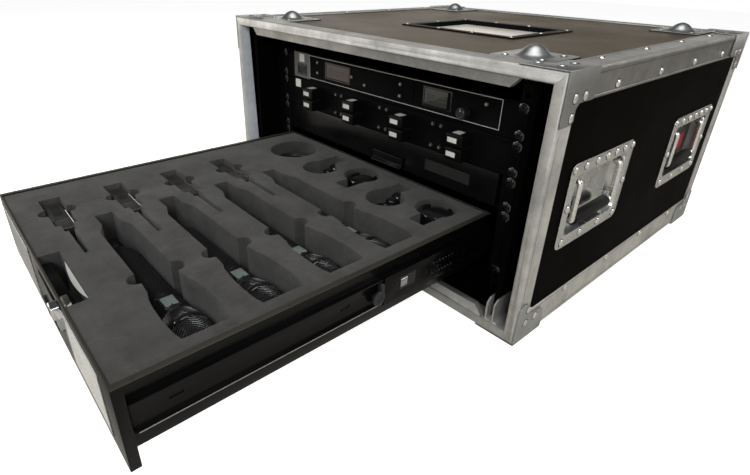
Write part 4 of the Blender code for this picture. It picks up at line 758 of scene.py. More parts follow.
# The receiver's front. Corners are X and Z; a depth is from the front backwards, with the face at 52.7
receiverLook = {
    "grey": ((-205.0, 226.0), (-162.4, 266.4)), "tag": ((-190, 251.5), (-176.5, 264.2)), "rim": 2.2,
    "rockerHole": ((-195.4, 230.95), (-170.6, 248.15)), "rockerWall": 1.7,
    "windows": (((-119, 236.45), (-63, 257.95), "amberReflectionWindow"), ((88, 236.45), (131, 257.95), "greyWindow")),
    "buttons": ((-141, 256), (-141, 240), (-28, 240), (-57, 247), (44, 254), (44, 238), (184, 255)), "steps": 16,
    "collar": ((-0.2, 0), (-0.2, 3.0), (0.5, 3.0), (0.9, 2.5), (0.9, 0)),
    "cap": ((0.6, 0), (0.6, 1.9), (1.7, 1.8), (2.1, 1.2), (2.2, 0)),
    "greyDepth": (52.35, 52.9), "tagDepth": (52.1, 52.4), "rockerDepth": (51.4, 52.7), "rimDepth": (52.0, 52.8),
    "glassDepth": (52.8, 53.45), "glassGap": 0.3,
}
meterLook = {"pitch": 3.1, "width": 1.9, "rows": (6.2, 11.4), "rowHeight": 2.2, "left": 21.5, "right": 5,
             "depth": (52.72, 52.86), "field": ((4, 6), (17, 15))}


def makeReceiverFront():
    look = receiverLook
    shape = newShape()
    tinted(shape, 0, addPanel, *look["grey"], *look["greyDepth"], 0.15, 1)
    tinted(shape, 1, addFrame, *look["rockerHole"], look["rockerWall"], *look["rockerDepth"])
    makePiece(shape, "receiver_grey_panel", "greyHousing", "case", parts=("plastic",))
    shape = newShape()
    addPanel(shape, *look["tag"], *look["tagDepth"])
    makePiece(shape, "receiver_blank_tag", "label", "case")
    for number, (low, high, finish) in enumerate(look["windows"], 1):
        shape = newShape()
        addPanel(shape, *grown(low, high, -look["glassGap"]), *look["glassDepth"], 0.2, 1)
        makePiece(shape, "receiver_window_%d" % number, finish, "case")
        shape = newShape()
        addFrame(shape, *grown(low, high, look["rim"]), look["rim"], *look["rimDepth"])
        makePiece(shape, "receiver_window_rim_%d" % number, "glossPlastic", "case")
        makeMeter(number, low, high[0] - low[0])


def makeMeter(number, corner, width):
    look = meterLook                               # rows of bars, as a level meter has, and a blank field
    left, low = corner
    shape = newShape()
    for row in look["rows"]:
        for bar in range(int((width - look["left"] - look["right"]) // look["pitch"])):
            start = left + look["left"] + bar * look["pitch"]
            high = low + row + look["rowHeight"]
            addPanel(shape, (start, low + row), (start + look["width"], high), *look["depth"])
    (near, under), (far, over) = look["field"]
    addPanel(shape, (left + near, low + under), (left + far, low + over), *look["depth"])
    makePiece(shape, "receiver_meter_%d" % number, "segment", "case")


# The receiver's fluted knob
knobLook = {
    "middle": (156, 52.4, 239.55), "radius": 7.4, "groove": 0.55, "flutes": 26, "fluted": (42.8, 51.4), "steps": 28,
    "cap": ((9.4, 0), (9.4, 6.7), (11.2, 6.5), (12.0, 5.5), (11.5, 4.7), (11.5, 0)),
    "foot": ((0.0, 0), (0.0, 7.2), (1.1, 7.2), (1.1, 0)), "mark": ((155.55, 40.65, 241.95), (156.45, 41.1, 245.75)),
}


def makeReceiverControls():
    look = receiverLook
    shape = newShape()
    for across, height in look["buttons"]:
        place = (across, rackLook["front"], height)
        tinted(shape, 1, addTurned, look["collar"], place, outward, look["steps"])
        tinted(shape, 0, addTurned, look["cap"], place, outward, look["steps"])
    makePiece(shape, "receiver_buttons", "paleButton", "case", parts=("plastic",))
    look = knobLook
    shape = newShape()
    middle = look["middle"]
    outline = []
    for n, (across, height) in enumerate(ringPoints((0, 0), 1, look["flutes"] * 4)):
        radius = look["radius"] - (look["groove"] if n % 4 in (0, 3) else 0.0)
        outline.append((middle[0] + across * radius, middle[2] + height * radius))
    tinted(shape, 0, addOutline, outline, *look["fluted"], "y")
    tinted(shape, 0, addTurned, look["cap"], middle, outward, look["steps"])
    tinted(shape, 0, addTurned, look["foot"], middle, outward, look["steps"])
    tinted(shape, 1, addBox, *look["mark"])
    makePiece(shape, "receiver_knob_skin", "plastic", "receiver_knob_body", replaced=("receiver_knob",),
              parts=("paleLine",))


# The charger's front: four bays of two packs, with lamps between them
chargerLook = {
    "bays": (-143.0, -42.6, 57.8, 158.2), "half": 13.4, "low": 181.9, "high": 216.7, "rim": 2.2,
    "packHeight": 16.8, "packStep": 18.0, "gapHalf": 12.4, "gap": (199.05, 199.55), "topLabelHigh": (216.6, 216.95),
    "lampOffsets": (49, 63), "lampHeights": (184.9, 213.7), "collarSteps": 16, "lensSteps": 14,
    "collar": ((-0.2, 0), (-0.2, 3.1), (0.6, 3.1), (0.9, 2.5), (0.9, 0)),
    "lens": ((0.8, 0), (0.8, 1.7), (2.0, 1.5), (2.6, 0.9), (2.8, 0)),
    "label": (-9.6, 4.4, 3.1), "topLabel": (5.6, 35.5, 47.5), "tag": ((-203, 208.5), (-188.5, 221.6)),
    "rimDepth": (51.7, 52.8), "labelDepth": (31.72, 32.1), "gapDepth": (37.0, 51.7), "tagDepth": (52.4, 52.8),
}


def makeChargerFront():
    look = chargerLook
    rims, lamps, labels = newShape(), newShape(), newShape()
    for number, middle in enumerate(look["bays"]):
        low, high = (middle - look["half"], look["low"]), (middle + look["half"], look["high"])
        addFrame(rims, *grown(low, high, look["rim"]), look["rim"], *look["rimDepth"])
        left, right, half = look["label"]
        for row in (0, 1):
            centre = look["low"] + look["packHeight"] / 2 + row * look["packStep"]
            low, high = (middle + left, centre - half), (middle + right, centre + half)
            addPanel(labels, low, high, *look["labelDepth"])
        near, far = middle - look["gapHalf"], middle + look["gapHalf"]
        tinted(rims, 1, addPanel, (near, look["gap"][0]), (far, look["gap"][1]), *look["gapDepth"])
        half, *depth = look["topLabel"]
        under, over = look["topLabelHigh"]
        addPanel(labels, (middle - half, under), (middle + half, over), *depth)
        for offset in look["lampOffsets"] if number < 3 else ():
            for height in look["lampHeights"]:
                place = (middle + offset, rackLook["front"], height)
                tinted(lamps, 1, addTurned, look["collar"], place, outward, look["collarSteps"])
                tinted(lamps, 0, addTurned, look["lens"], place, outward, look["lensSteps"])
    addPanel(labels, *look["tag"], *look["tagDepth"])
    makePiece(rims, "charger_bay_rims", "housing", "case", parts=("blackAndPaintedShade",))
    makePiece(lamps, "charger_lamps", "dimLamp", "case", parts=("plastic",))
    makePiece(labels, "blank_labels", "label", "case")


# The low drawer's label holder
lowDrawerLook = {"label": ((98.0, 147.5), (176.0, 165.5)), "wall": 1.4, "frameDepth": (51.6, 52.8),
                 "labelDepth": (52.35, 52.8)}


def makeLowDrawerFront():
    look = lowDrawerLook
    shape = newShape()
    tinted(shape, 0, addFrame, *look["label"], look["wall"], *look["frameDepth"])
    tinted(shape, 1, addPanel, *grown(*look["label"], -1), *look["labelDepth"])
    makePiece(shape, "low_drawer_label_holder", "glossSteel", "low_drawer_body", parts=("darkLabel",))


# The deep drawer: face labels, screws in its rim, guard plate in the latch's well
drawerLook = {
    "rimX": 212.3, "rimZ": 126.3, "rimScrews": (-388, -250, -110, 20), "screwSteps": 12,
    "screw": ((-0.1, 0), (-0.1, 1.7), (0.25, 1.6), (0.45, 1.0), (0.45, 0)),
    "labels": (("near", (77, 53), (182, 117), "ruledLabel"), ("far", (-200, 55), (-60, 117), "paintedShadeLabel")),
    "labelDepth": (-404.85, -404.45), "border": 1.2, "borderWall": 1.4, "borderDepth": (-405.4, -404.45),
    "strip": (-1.6, 1.4), "stripDepth": (-405.65, -404.7),
}
guardLook = {"middle": 46.25, "half": 39.25, "top": 124.2, "wall": -382.2, "bulge": 3.6, "drop": 3.4, "edge": 0.3,
             "thickness": 0.5, "steps": 14}


def makeDrawerFront():
    look = drawerLook
    for name, low, high, finish in look["labels"]:
        shape = newShape()
        tinted(shape, 0, addPanel, low, high, *look["labelDepth"])
        low, high = grown(low, high, look["border"])
        tinted(shape, 1, addFrame, low, high, look["borderWall"], *look["borderDepth"])
        under, over = (high[1] - look["border"] + step for step in look["strip"])
        tinted(shape, 2, addPanel, (low[0], under), (high[0], over), *look["stripDepth"], 0.3, 2)
        makePiece(shape, "deep_drawer_label_" + name, finish, "deep_drawer", parts=("brightSteel", "paleSteel"))
    shape = newShape()
    for side in (1, -1):
        for along in look["rimScrews"]:
            place = (side * look["rimX"], along, look["rimZ"])
            addTurned(shape, look["screw"], place, upward, look["screwSteps"])
    makePiece(shape, "drawer_rim_screws", "plastic", "deep_drawer")


def makeGuardPlate():
    look = guardLook
    shape = newShape()
    upper, lower = [], []
    for n in range(look["steps"] + 1):
        share = -1 + 2 * n / look["steps"]
        bulge = 1 - share * share
        across = look["middle"] + share * look["half"]
        upper.append(shape.verts.new((across, look["wall"], look["top"])))
        lower.append(shape.verts.new((across, look["wall"] - look["edge"] - look["bulge"] * bulge,
                                      look["top"] - look["edge"] - look["drop"] * bulge)))
    for n in range(look["steps"]):
        shape.faces.new((upper[n], upper[n + 1], lower[n + 1], lower[n]))
    bmesh.ops.solidify(shape, geom=list(shape.faces), thickness=look["thickness"])
    makePiece(shape, "latch_guard_plate", "paleGrey", "deep_drawer")


# The latch: a black paddle that turns in its cup, and a chrome keeper fixed to the face at its right end
latchLook = {
    "plate": ((-12.0, -406.0, 84.0), (64.6, -403.6, 112.5), 0.8, 3),
    "lip": ((-8.0, -409.0, 84.0), (60.6, -405.5, 86.2), 0.8, 3),
    # In the keeper, the black box at its front is the window's painted shade
    "keeper": ((0, (66.0, -412.8, 109.0), (81.0, -404.3, 122.0), 1.6, 4),
               (1, (68.5, -413.1, 112.0), (76.0, -411.0, 118.0), 0.4, 2),
               (2, (66.5, -409.5, 96.0), (80.0, -404.3, 110.0), 1.2, 3)),
    "pin": (73.5, -409.6, 117.4), "pinOut": 6.9, "steps": 20,
    "pinProfile": ((0, 0), (0, 3.6), (1.0, 3.4), (1.3, 2.4), (1.3, 0)),
}


def makeLatch():
    look = latchLook
    shape = newShape()
    addBox(shape, *look["plate"])
    addBox(shape, *look["lip"])
    makePiece(shape, "latch_paddle_skin", "glossSteel", "drawer_latch_paddle_body",
              replaced=("drawer_latch_paddle",))
    shape = newShape()
    for index, *box in look["keeper"]:
        tinted(shape, index, addBox, *box)
    x, y, z = look["pin"]
    for way in (1, -1):
        place = (x + way * look["pinOut"], y, z)
        tinted(shape, 0, addTurned, look["pinProfile"], place, (way, 0, 0), look["steps"])
    makePiece(shape, "latch_keeper", "chrome", "deep_drawer", parts=("blackAndPaintedShade", "zinc"))


# Slides: a bright strip on the inner member's lower flange as a painted highlight, ball cages, a bright plate behind
# the middle member's window as a painted highlight, and the release lever at the middle member's end, each as the
# ranges across (out from the middle), along and up
slideLook = {
    "highlightStrip": ((215.6, 215.72), (-392, 40), (75.7, 76.8)),
    "cage": ((217.4, 218.2), (-62, -22), (82, 100), 0.3, 1),
    "window": ((217.4, 217.8), (-112, -87.5), (84.5, 100), 0.2, 1),
    "glint": ((217.7, 218.1), (-110.4, -100.4), (87.4, 97.4), 0.25, 1),
    "lever": ((211.9, 218.6), (-140.6, -134.9), (80, 103), 1.4, 2),
    "tail": ((213.4, 217.1), (-149.6, -138.6), (88.6, 92.2), 1.0, 2),
    "eye": (217.4, -142.6, 87.0), "eyeSteps": 22,
    "eyeProfile": ((-1.4, 0), (-1.4, 8.6), (0.9, 8.6), (1.6, 7.6), (1.6, 4.2), (0.6, 3.8), (0.6, 0)),
    "firstBall": (218.2, -58.5), "ballPitch": 5.5, "balls": 7, "ballRows": (84.5, 97.5), "ballRadius": 1.5,
}


def makeSlideDetails():
    look = slideLook
    for side, sideName in sides:
        shape = newShape()
        addFlank(shape, side, *look["highlightStrip"])
        makePiece(shape, "slide_raceways_" + sideName, "brightSteel", "deep_drawer")
        shape = newShape()
        across, first = look["firstBall"]
        for height in look["ballRows"]:
            for n in range(look["balls"]):
                place = (side * across, first + n * look["ballPitch"], height)
                tinted(shape, 0, addBall, place, look["ballRadius"], 10)
        for index, part in ((0, "cage"), (1, "window"), (2, "glint"), (1, "lever"), (1, "tail")):
            tinted(shape, index, addFlank, side, *look[part])
        x, y, z = look["eye"]
        tinted(shape, 1, addTurned, look["eyeProfile"], (side * x, y, z), (side, 0, 0), look["eyeSteps"])
        makePiece(shape, "slide_cage_" + sideName, "cageSteel", "slide_mid_%s_body" % sideName,
                  parts=("plastic", "brightSteel"))


# Handles: pins in bosses, arms that crank out over the dish's edge, and a smooth rubber grip between them.
# Half of the wire: out from the middle, in from the case's middle plane, height
bailLook = {
    "wire": 3.3, "pivot": (292.9, 187.5), "arm": 51.0, "armX": 299.3, "corner": 6.0, "cornerSteps": 7,
    "gripX": 295.2, "gripZ": 136.5, "gripSteps": 32,
    "top": ((61.6, 292.9, 187.5), (53.4, 292.9, 187.5), (51.6, 293.7, 187.5), (51.0, 295.5, 187.5),
            (51.0, 296.9, 187.1), (51.0, 298.7, 185.7), (51.0, 299.3, 182.9)),
    "grip": ((-43.0, 0), (-43.0, 5.8), (-42.5, 6.9), (-41.4, 7.4), (41.4, 7.4), (42.5, 6.9), (43.0, 5.8), (43.0, 0)),
    "bossOut": 61.75, "boss": ((0, 0), (0, 5.2), (0.5, 6.2), (1.3, 6.2), (1.3, 0)), "bossSteps": 20,
    "spring": (53.5, 1.2, 5, 4.4), "springSteps": 18,
}


def bailHalf():
    look = bailLook
    points = list(look["top"])
    for n in range(look["cornerSteps"] + 1):
        angle = math.pi / 2 * n / look["cornerSteps"]
        turned, left = 1 - math.cos(angle), 1 - math.sin(angle)
        points.append((look["arm"] - look["corner"] * turned, look["armX"] - turned * (look["armX"] - look["gripX"]),
                       look["gripZ"] + look["corner"] * left))
    return points


def springProfile():
    start, pitch, turns, radius = bailLook["spring"]
    rings = []
    for n in range(turns):
        along = start + n * pitch
        rings += [(along, radius - 0.5), (along + 0.3, radius), (along + 0.8, radius), (along + 1.1, radius - 0.5)]
    return rings


def makeBail(side, sideName, end, middle):
    look = bailLook
    name = "%s_%s" % (end, sideName)
    body = "handle_bail_%s_body" % name
    half = bailHalf()
    points = [(side * across, middle + out, height) for out, across, height in half]
    points += [(side * across, middle - out, height) for out, across, height in reversed(half)]
    makeWire(points, look["wire"], "bail_wire_" + name, "rivet", body)
    shape = newShape()
    addTurned(shape, look["grip"], (side * look["gripX"], middle, look["gripZ"]), (0, 1, 0), look["gripSteps"])
    makePiece(shape, "bail_grip_" + name, "grip", body, 40, replaced=("handle_bail_" + name,))
    shape = newShape()
    pivotX, pivotZ = look["pivot"]
    for way in (1, -1):
        centre = (side * pivotX, middle + way * look["bossOut"], pivotZ)
        tinted(shape, 0, addTurned, look["boss"], centre, (0, way, 0), look["bossSteps"])
        centre = (side * pivotX, middle, pivotZ)
        tinted(shape, 1, addTurned, springProfile(), centre, (0, way, 0), look["springSteps"])
    makePiece(shape, "bail_bosses_" + name, "rivet", "case", parts=("boltSteel",))


def makeBails():
    for side, sideName in sides:
        for end, middle in zip(ends, rivetLook["dishMiddles"]):
            makeBail(side, sideName, end, middle)


# A plain red patch on the rear right dish, behind its bail
redPatchLook = {"low": (282.5, 434, 143), "high": (282.9, 470, 168)}


def makeRedPatch():
    shape = newShape()
    addBox(shape, redPatchLook["low"], redPatchLook["high"])
    makePiece(shape, "red_patch", "redPatch", "case")


# Microphones: painted body, pale display, banded ball of woven wire. Profiles run from the tail; a box is
# its finish, range along, half width, range up, rounding and segments
micLook = {
    "tail": -76.0, "axisZ": 85.1, "firstY": -319.0, "pitch": 76.7, "count": 4, "meshSteps": 34, "wire": 0.46,
    "body": ((0, 0), (0.2, 6.6), (2.1, 8.3), (3.2, 8.8), (26.5, 8.9), (27.4, 8.2), (28.4, 8.2), (29.0, 9.4),
             (46, 15.2), (52, 16.4), (90, 16.9), (150, 17.4), (169, 17.6), (170, 17.2), (171, 17.2), (172, 17.9),
             (192, 18.3), (193, 17.8), (194, 17.8), (195, 18.9), (198, 19.6), (199.5, 19.9), (200.2, 19.3),
             (200.2, 0)),
    "lower": ((200.0, 19.5), (206, 20.9), (212, 22.3), (217.5, 23.2)),
    "band": ((217.2, 22.6), (217.4, 23.7), (218.4, 24.1), (222.6, 24.1), (223.6, 23.7), (223.8, 22.6)),
    "upper": ((223.6, 23.2), (231, 23.5), (238, 23.1), (245, 21.9), (251, 19.8), (256, 16.9), (260.5, 12.6),
              (263.5, 7.2), (264.8, 2.2)),
    "core": ((200, 0), (200, 18.4), (212, 21.0), (220, 22.2), (236, 22.0), (246, 20.0), (254, 15.8), (260, 9.8),
             (263, 0)),
    "turned": ((0, "body", 40), (2, "core", 24), (3, "band", 48)),
    "boxes": ((0, (171.1, 193.4), 9.4, (12.9, 17.8), 1.6, 3), (4, (173.9, 190.6), 6.6, (15.9, 18.2), 0.5, 2),
              (3, (165.9, 168.3), 3.2, (15.9, 18.0), 0.5, 2)),
}


def addGrille(shape, profile, centre, steps):
    net = newShape()
    addTurned(net, profile, centre, (1, 0, 0), steps)
    old = list(net.edges)
    bmesh.ops.poke(net, faces=list(net.faces))
    crossed = [edge for edge in old if edge.is_valid and len(edge.link_faces) == 2]
    bmesh.ops.dissolve_edges(net, edges=crossed, use_verts=False)
    bmesh.ops.wireframe(net, faces=list(net.faces), thickness=micLook["wire"], use_replace=True, use_boundary=True,
                        use_even_offset=False)
    for face in net.faces:
        face.material_index = 1
    joinShape(shape, net)


def halved(profile):
    points = [profile[0]]
    for (a, b), (c, d) in zip(profile, profile[1:]):
        points += [((a + c) / 2, (b + d) / 2), (c, d)]
    return points


def makeMicrophones():
    look = micLook
    for number in range(look["count"]):
        centre = (look["tail"], look["firstY"] + number * look["pitch"], look["axisZ"])
        shape = newShape()
        for index, profile, steps in look["turned"]:
            tinted(shape, index, addTurned, look[profile], centre, (1, 0, 0), steps)
        addBoxes(shape, centre, look["boxes"])
        for profile in ("lower", "upper"):
            addGrille(shape, halved(look[profile]), centre, look["meshSteps"])
        node = "microphone_%d" % (number + 1)
        makePiece(shape, node + "_skin", "micPaint", "deep_drawer", 40, replaced=(node,),
                  parts=("grilleWire", "blackAndPaintedShade", "glossPlastic", "packDisplay"))


# Body packs standing on edge, each with a wire belt clip, an aerial and a seam round its lid
packLook = {
    "firstY": -359.0, "pitch": 77.0, "right": -80.0, "socketZ": 105.1, "socketSteps": 20,
    "boxes": ((0, (-163.0, -104.0), 10.5, (67.1, 119.1), 2.6, 3), (0, (-103.4, -80.0), 10.5, (67.1, 119.1), 2.6, 3),
              (1, (-106.0, -101.0), 9.6, (68.0, 118.2), 1.5, 2), (1, (-155.0, -119.0), 5.5, (118.7, 119.3), 0.4, 2)),
    "socket": ((-1, 0), (-1, 4.9), (5, 4.9), (6, 4.4), (17, 3.4), (19, 2.6), (19.4, 0)),
    "aerial": (15, 77.5, 1.8, 1.5), "tip": (77.4, 1.55), "aerialSteps": 12,
    "clip": ((-131.0, 10.1, 118.9), (-84.0, 9.3, 119.4)), "clipRadius": 1.0, "clipSteps": 10,
}


def makeBodyPacks():
    look = packLook
    for number in range(micLook["count"]):
        middle = look["firstY"] + number * look["pitch"]
        shape = newShape()
        addBoxes(shape, (0, middle, 0), look["boxes"])
        socket = Vector((look["right"], middle, look["socketZ"]))
        tinted(shape, 1, addTurned, look["socket"], socket, (1, 0, 0), look["socketSteps"])
        start, end, radius, tip = look["aerial"]
        tinted(shape, 1, addRod, socket + Vector((start, 0, 0)), socket + Vector((end, 0, 0)), radius, tip,
               look["aerialSteps"])
        along, radius = look["tip"]
        tinted(shape, 1, addBall, socket + Vector((along, 0, 0)), radius, look["aerialSteps"])
        start, end = ((x, middle + y, z) for x, y, z in look["clip"])
        tinted(shape, 2, addRod, start, end, look["clipRadius"], look["clipRadius"], look["clipSteps"])
        node = "body_pack_%d" % (number + 1)
        makePiece(shape, node + "_skin", "packPlastic", "deep_drawer", replaced=(node,),
                  parts=("plastic", "brightSteel"))


# Microphone clips lying in the round pockets: open jaws, a cap inside them, a stub and its foot. A clip is
# its place across, the way its foot points, its jaws' height and its cap's height
clipLook = {
    "clips": ((-43, 1, 15.0, 14.0), (20, -1, 29.5, 28.2), (97, 1, 15.0, 14.0), (160, -1, 29.5, 28.2)),
    "middleY": -4.0, "offset": 14.0, "floor": 91.2, "inner": 17.5, "wall": 3.2, "opening": 84, "steps": 26,
    "capRadius": 18.5, "stubAcross": 10, "stubHalf": 7.5, "stubAlong": (17, 37), "stubZ": (98.2, 111.2),
    "foot": ((-9, 0), (-9, 8.5), (-7, 9.6), (7, 9.6), (9, 8.5), (9, 0)), "footAlong": 38, "footZ": 105.7,
}


def jawSection(high):
    inner, outer = clipLook["inner"], clipLook["inner"] + clipLook["wall"]
    return [(0, inner - 1.2), (0, outer + 1.0), (1.2, outer + 2.0), (high * 0.35, outer + 0.6),
            (high * 0.7, outer + 0.4), (high - 1.2, outer + 1.6), (high, outer + 0.7), (high, inner - 0.4),
            (high * 0.5, inner), (0, inner - 1.2)]


def makeClips():
    look = clipLook
    opening, reach, steps = math.radians(look["opening"]), look["capRadius"], look["steps"]
    for number, (across, way, high, cap) in enumerate(look["clips"], 1):
        shape = newShape()
        centre = (across, look["middleY"] - way * look["offset"], look["floor"])
        jaws = newShape()
        addTurned(jaws, jawSection(high), (0, 0, 0), upward, steps, math.tau - opening)
        bmesh.ops.holes_fill(jaws, edges=[edge for edge in jaws.edges if edge.is_boundary], sides=0)
        toward = math.atan2(way, -way * 0.35)          # the foot's side, over the square stub
        turn = Matrix.Rotation(toward + math.pi + opening / 2, 4, "Z")
        bmesh.ops.transform(jaws, matrix=Matrix.Translation(centre) @ turn, verts=jaws.verts)
        joinShape(shape, jaws)
        lid = [(2, 0), (2, reach), (cap - 2.2, reach), (cap - 0.8, reach - 1.1), (cap, reach / 2), (cap - 0.6, 0)]
        addTurned(shape, lid, centre, upward, steps)
        stubX, half = across - way * look["stubAcross"], look["stubHalf"]
        near, far = sorted(centre[1] + way * along for along in look["stubAlong"])
        addBox(shape, (stubX - half, near, look["stubZ"][0]), (stubX + half, far, look["stubZ"][1]), 2.4, 3)
        place = (stubX, centre[1] + way * look["footAlong"], look["footZ"])
        addTurned(shape, look["foot"], place, (1, 0, 0), steps)
        makePiece(shape, "microphone_clip_%d" % number, "glossPlastic", "deep_drawer", 45)


# The coiled cable, in the same turns as its solid, with a small connector at each end
coilLook = {
    "middle": (-133.0, -3.0), "outer": 35.0, "diameter": 4.4, "turns": 3, "layers": 2, "base": 101.3,
    "stepShare": 1.14, "climbShare": 1.16, "perTurn": 32, "connectorSteps": 18,
    "connector": ((0.1, 0), (0.1, 2.5), (5, 3.4), (6, 4.3), (17, 4.3), (18, 3.7), (21, 3.6), (21, 0)),
}


def coilRoute():
    look = coilLook
    turns, diameter = look["turns"], look["diameter"]
    points = []
    for n in range(turns * look["layers"] * look["perTurn"] + 1):
        turn = n / look["perTurn"]
        layer = min(int(turn // turns), look["layers"] - 1)
        inward = turn - layer * turns
        if layer % 2:
            inward = turns - inward
        radius = look["outer"] - diameter / 2 - diameter * look["stepShare"] * inward
        climb = float(bool(layer))
        if abs(turn - turns) <= 0.25:              # half a turn's climb from the lower layer to the upper
            share = (turn - (turns - 0.25)) / 0.5
            climb = share * share * (3 - 2 * share)
        angle = math.tau * turn
        points.append((look["middle"][0] + radius * math.cos(angle), look["middle"][1] + radius * math.sin(angle),
                       look["base"] + climb * diameter * look["climbShare"]))
    return points


def makeCable():
    look = coilLook
    points = coilRoute()
    cable = makeWire(points, look["diameter"] / 2, "coiled_cable_skin", "cable", "deep_drawer")
    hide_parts("coiled_cable")
    for number, (tip, before) in enumerate(((points[0], points[1]), (points[-1], points[-2])), 1):
        away = (Vector(tip) - Vector(before)).normalized()
        shape = newShape()
        tinted(shape, 0, addTurned, look["connector"], Vector(tip) + away * 0.05, away, look["connectorSteps"])
        makePiece(shape, "cable_connector_%d" % number, "plastic", "deep_drawer")


makeShellRivets()
makeStepShadows()
makeStackingPlates()
makeRackBolts()
makeReceiverFront()
makeReceiverControls()
makeChargerFront()
makeLowDrawerFront()
print("rack fronts detailed")
makeDrawerFront()
makeGuardPlate()
makeLatch()
makeSlideDetails()
makeBails()
makeRedPatch()
print("drawer and handles detailed")
makeMicrophones()
makeBodyPacks()
makeClips()
makeCable()
print("drawer's contents made")


# Foam: both blocks become one skin without the seam between them, and the latch's well is moved to its place
foamSeam = {"y": -50.0, "reach": 0.6}
wellLook = {"x": (-25.0, 105.0), "front": -380.0, "right": (99.0, 88.5), "back": (-385.5, -381.5), "reach": 0.6}
foamRound = {"width": 0.9, "segments": 3, "angle": 50}


def shiftFoam(place):
    look = wellLook
    if abs(place.y - foamSeam["y"]) < foamSeam["reach"]:
        place.y = foamSeam["y"]
    if look["x"][0] < place.x < look["x"][1] and place.y < look["front"]:
        if abs(place.x - look["right"][0]) < look["reach"]:
            place.x = look["right"][1]
        if abs(place.y - look["back"][0]) < look["reach"]:
            place.y = look["back"][1]


def makeFoam():
    shape = newShape()
    for node in ("foam_front", "foam_rear"):
        shape.from_mesh(frame["nodes"][node].data)
    bmesh.ops.transform(shape, matrix=fromWorld, verts=shape.verts)
    for vert in shape.verts:
        shiftFoam(vert.co)
    bmesh.ops.remove_doubles(shape, verts=shape.verts, dist=0.001)
    seam = [face for face in shape.faces if all(abs(vert.co.y - foamSeam["y"]) < 0.01 for vert in face.verts)]
    bmesh.ops.delete(shape, geom=seam, context="FACES")
    roundEdges(shape, foamRound["width"], foamRound["segments"])
    made = makePiece(shape, "foam_skin", "foam", "deep_drawer", foamRound["angle"],
                     replaced=("foam_front", "foam_rear"))


makeFoam()
print("foam made")


# Floor, light and camera

stageLook = {"floor": (0.56, 0.53, 0.48), "reach": 7.0, "seenFloor": 0.9, "seenGlow": 0.86,
             "world": (0.06, 0.062, 0.066), "horizon": (0.95, 0.89, 0.79), "horizonTop": (0.08, 0.34)}
cameraLook = {"place": (515.5747, -445.9598, 397.1409), "azimuth": 0.8475, "elevation": 0.4734, "roll": 0.0229,
              "focal": 496.329, "width": 750, "height": 475, "middle": (351.938, 218.888), "sensor": 36.0}
lampLook = (
    ("keyLamp", (-1.5, -1.9, 1.8), (0.0, -0.1, 0.15), 1.2, 13, (1.0, 0.985, 0.96)),
    ("topLamp", (0.2, -0.1, 2.4), (0.1, 0.0, 0.2), 1.7, 22, (1.0, 0.98, 0.95)),
    ("glowLamp", (-2.5, 2.1, 0.95), (0.0, 0.2, 0.25), 2.6, 5, (1.0, 0.955, 0.88)),
    ("postLamp", (-1.7, -1.1, 0.45), (-0.3, -0.07, 0.15), 0.9, 3, (1.0, 0.99, 0.97)),
    ("sideLamp", (1.3, 0.75, 1.0), (0.5, 0.15, 0.0), 0.6, 5, (1.0, 0.99, 0.97)),
    ("frontLamp", (1.5, -1.6, 1.4), (0.5, -0.4, 0.0), 1.1, 28, (0.95, 0.98, 1.0)),
)


def makeFloor():
    shape = newShape()
    bmesh.ops.create_grid(shape, x_segments=1, y_segments=1, size=stageLook["reach"])
    mesh = bpy.data.meshes.new("studioFloor")
    shape.to_mesh(mesh)
    shape.free()
    look = Finish("studioFloor", "laminate", stageLook["floor"], 0.9)
    seen = stageLook["seenFloor"]                  # what the camera sees of the floor; light meets the plain one
    sockets = {"Base Color": (seen, seen, seen, 1), "Roughness": 0.95, "Specular IOR Level": 0.0,
               "Emission Color": (1, 1, 1, 1), "Emission Strength": stageLook["seenGlow"]}
    pale = look.node("ShaderNodeBsdfPrincipled", {}, sockets)
    camera = look.node("ShaderNodeLightPath", {}, {}, "Is Camera Ray")
    both = look.node("ShaderNodeMixShader", {}, {0: camera, 1: Wire(look, look.shader.outputs[0]), 2: pale})
    look.tree.links.new(both.socket, look.tree.nodes["Material Output"].inputs["Surface"])
    mesh.materials.append(look.material)
    floor = bpy.data.objects.new("studioFloor", mesh)
    bpy.context.scene.collection.objects.link(floor)


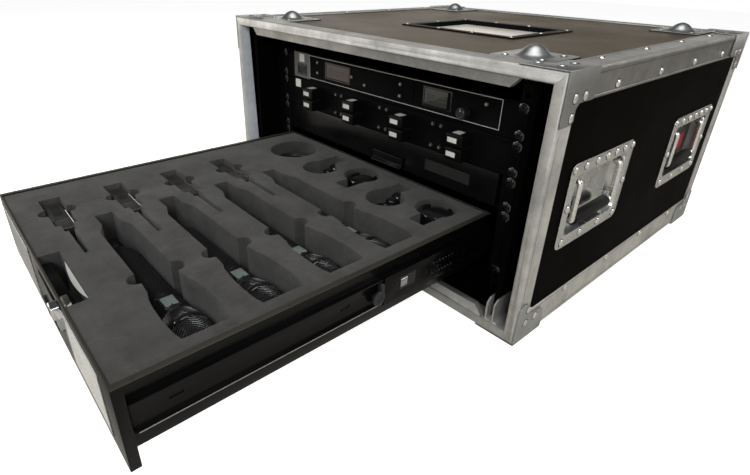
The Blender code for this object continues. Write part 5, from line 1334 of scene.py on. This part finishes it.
def makeWorld():
    world = bpy.data.worlds.new("studioWorld")
    world.use_nodes = True
    bpy.context.scene.world = world
    tree = world.node_tree
    backdrop = tree.nodes["Background"]
    path = tree.nodes.new("ShaderNodeLightPath")
    way = tree.nodes.new("ShaderNodeTexCoord")
    split = tree.nodes.new("ShaderNodeSeparateXYZ")
    fade = tree.nodes.new("ShaderNodeMapRange")    # a pale band along the horizon, dark above it
    fade.interpolation_type = "SMOOTHSTEP"
    fade.inputs[1].default_value, fade.inputs[2].default_value = stageLook["horizonTop"]
    room = tree.nodes.new("ShaderNodeMix")
    room.data_type = "RGBA"
    room.inputs[6].default_value = (*stageLook["horizon"], 1)
    room.inputs[7].default_value = (*stageLook["world"], 1)
    colour = tree.nodes.new("ShaderNodeMix")
    colour.data_type = "RGBA"
    colour.inputs[7].default_value = (1, 1, 1, 1)
    tree.links.new(way.outputs["Generated"], split.inputs[0])
    tree.links.new(split.outputs["Z"], fade.inputs[0])
    tree.links.new(fade.outputs[0], room.inputs[0])
    tree.links.new(room.outputs[2], colour.inputs[6])
    tree.links.new(path.outputs["Is Camera Ray"], colour.inputs[0])
    tree.links.new(colour.outputs[2], backdrop.inputs["Color"])


def makeLamps():
    for name, place, target, size, power, colour in lampLook:
        data = bpy.data.lights.new(name, "AREA")
        data.shape = "DISK"
        data.size = size
        data.energy = power
        data.color = colour
        lamp = bpy.data.objects.new(name, data)
        bpy.context.scene.collection.objects.link(lamp)
        lamp.location = place
        lamp.rotation_euler = (Vector(target) - Vector(place)).to_track_quat("-Z", "Y").to_euler()


def makeCamera():
    look = cameraLook
    azimuth, elevation, roll = look["azimuth"], look["elevation"], look["roll"]
    back = Vector((math.sin(azimuth) * math.cos(elevation), -math.cos(azimuth) * math.cos(elevation),
                   math.sin(elevation)))
    right = (-back).cross(Vector((0, 0, 1))).normalized()
    up = right.cross(-back)
    rolledRight = right * math.cos(roll) + up * math.sin(roll)
    rolledUp = up * math.cos(roll) - right * math.sin(roll)
    data = bpy.data.cameras.new("photoCamera")
    data.sensor_fit = "HORIZONTAL"
    data.sensor_width = look["sensor"]
    data.lens = look["focal"] / look["width"] * look["sensor"]
    data.shift_x = (look["width"] / 2 - look["middle"][0]) / look["width"]
    data.shift_y = (look["middle"][1] - look["height"] / 2) / look["width"]
    data.clip_start = 0.01
    camera = bpy.data.objects.new("photoCamera", data)
    bpy.context.scene.collection.objects.link(camera)
    turn = Matrix((rolledRight, rolledUp, back)).transposed().to_4x4()
    camera.matrix_world = Matrix.Translation(toWorld @ Vector(look["place"])) @ turn
    bpy.context.scene.camera = camera


makeFloor()
makeWorld()
makeLamps()
makeCamera()
bpy.context.scene.view_settings.view_transform = "Standard"
print("studio made")
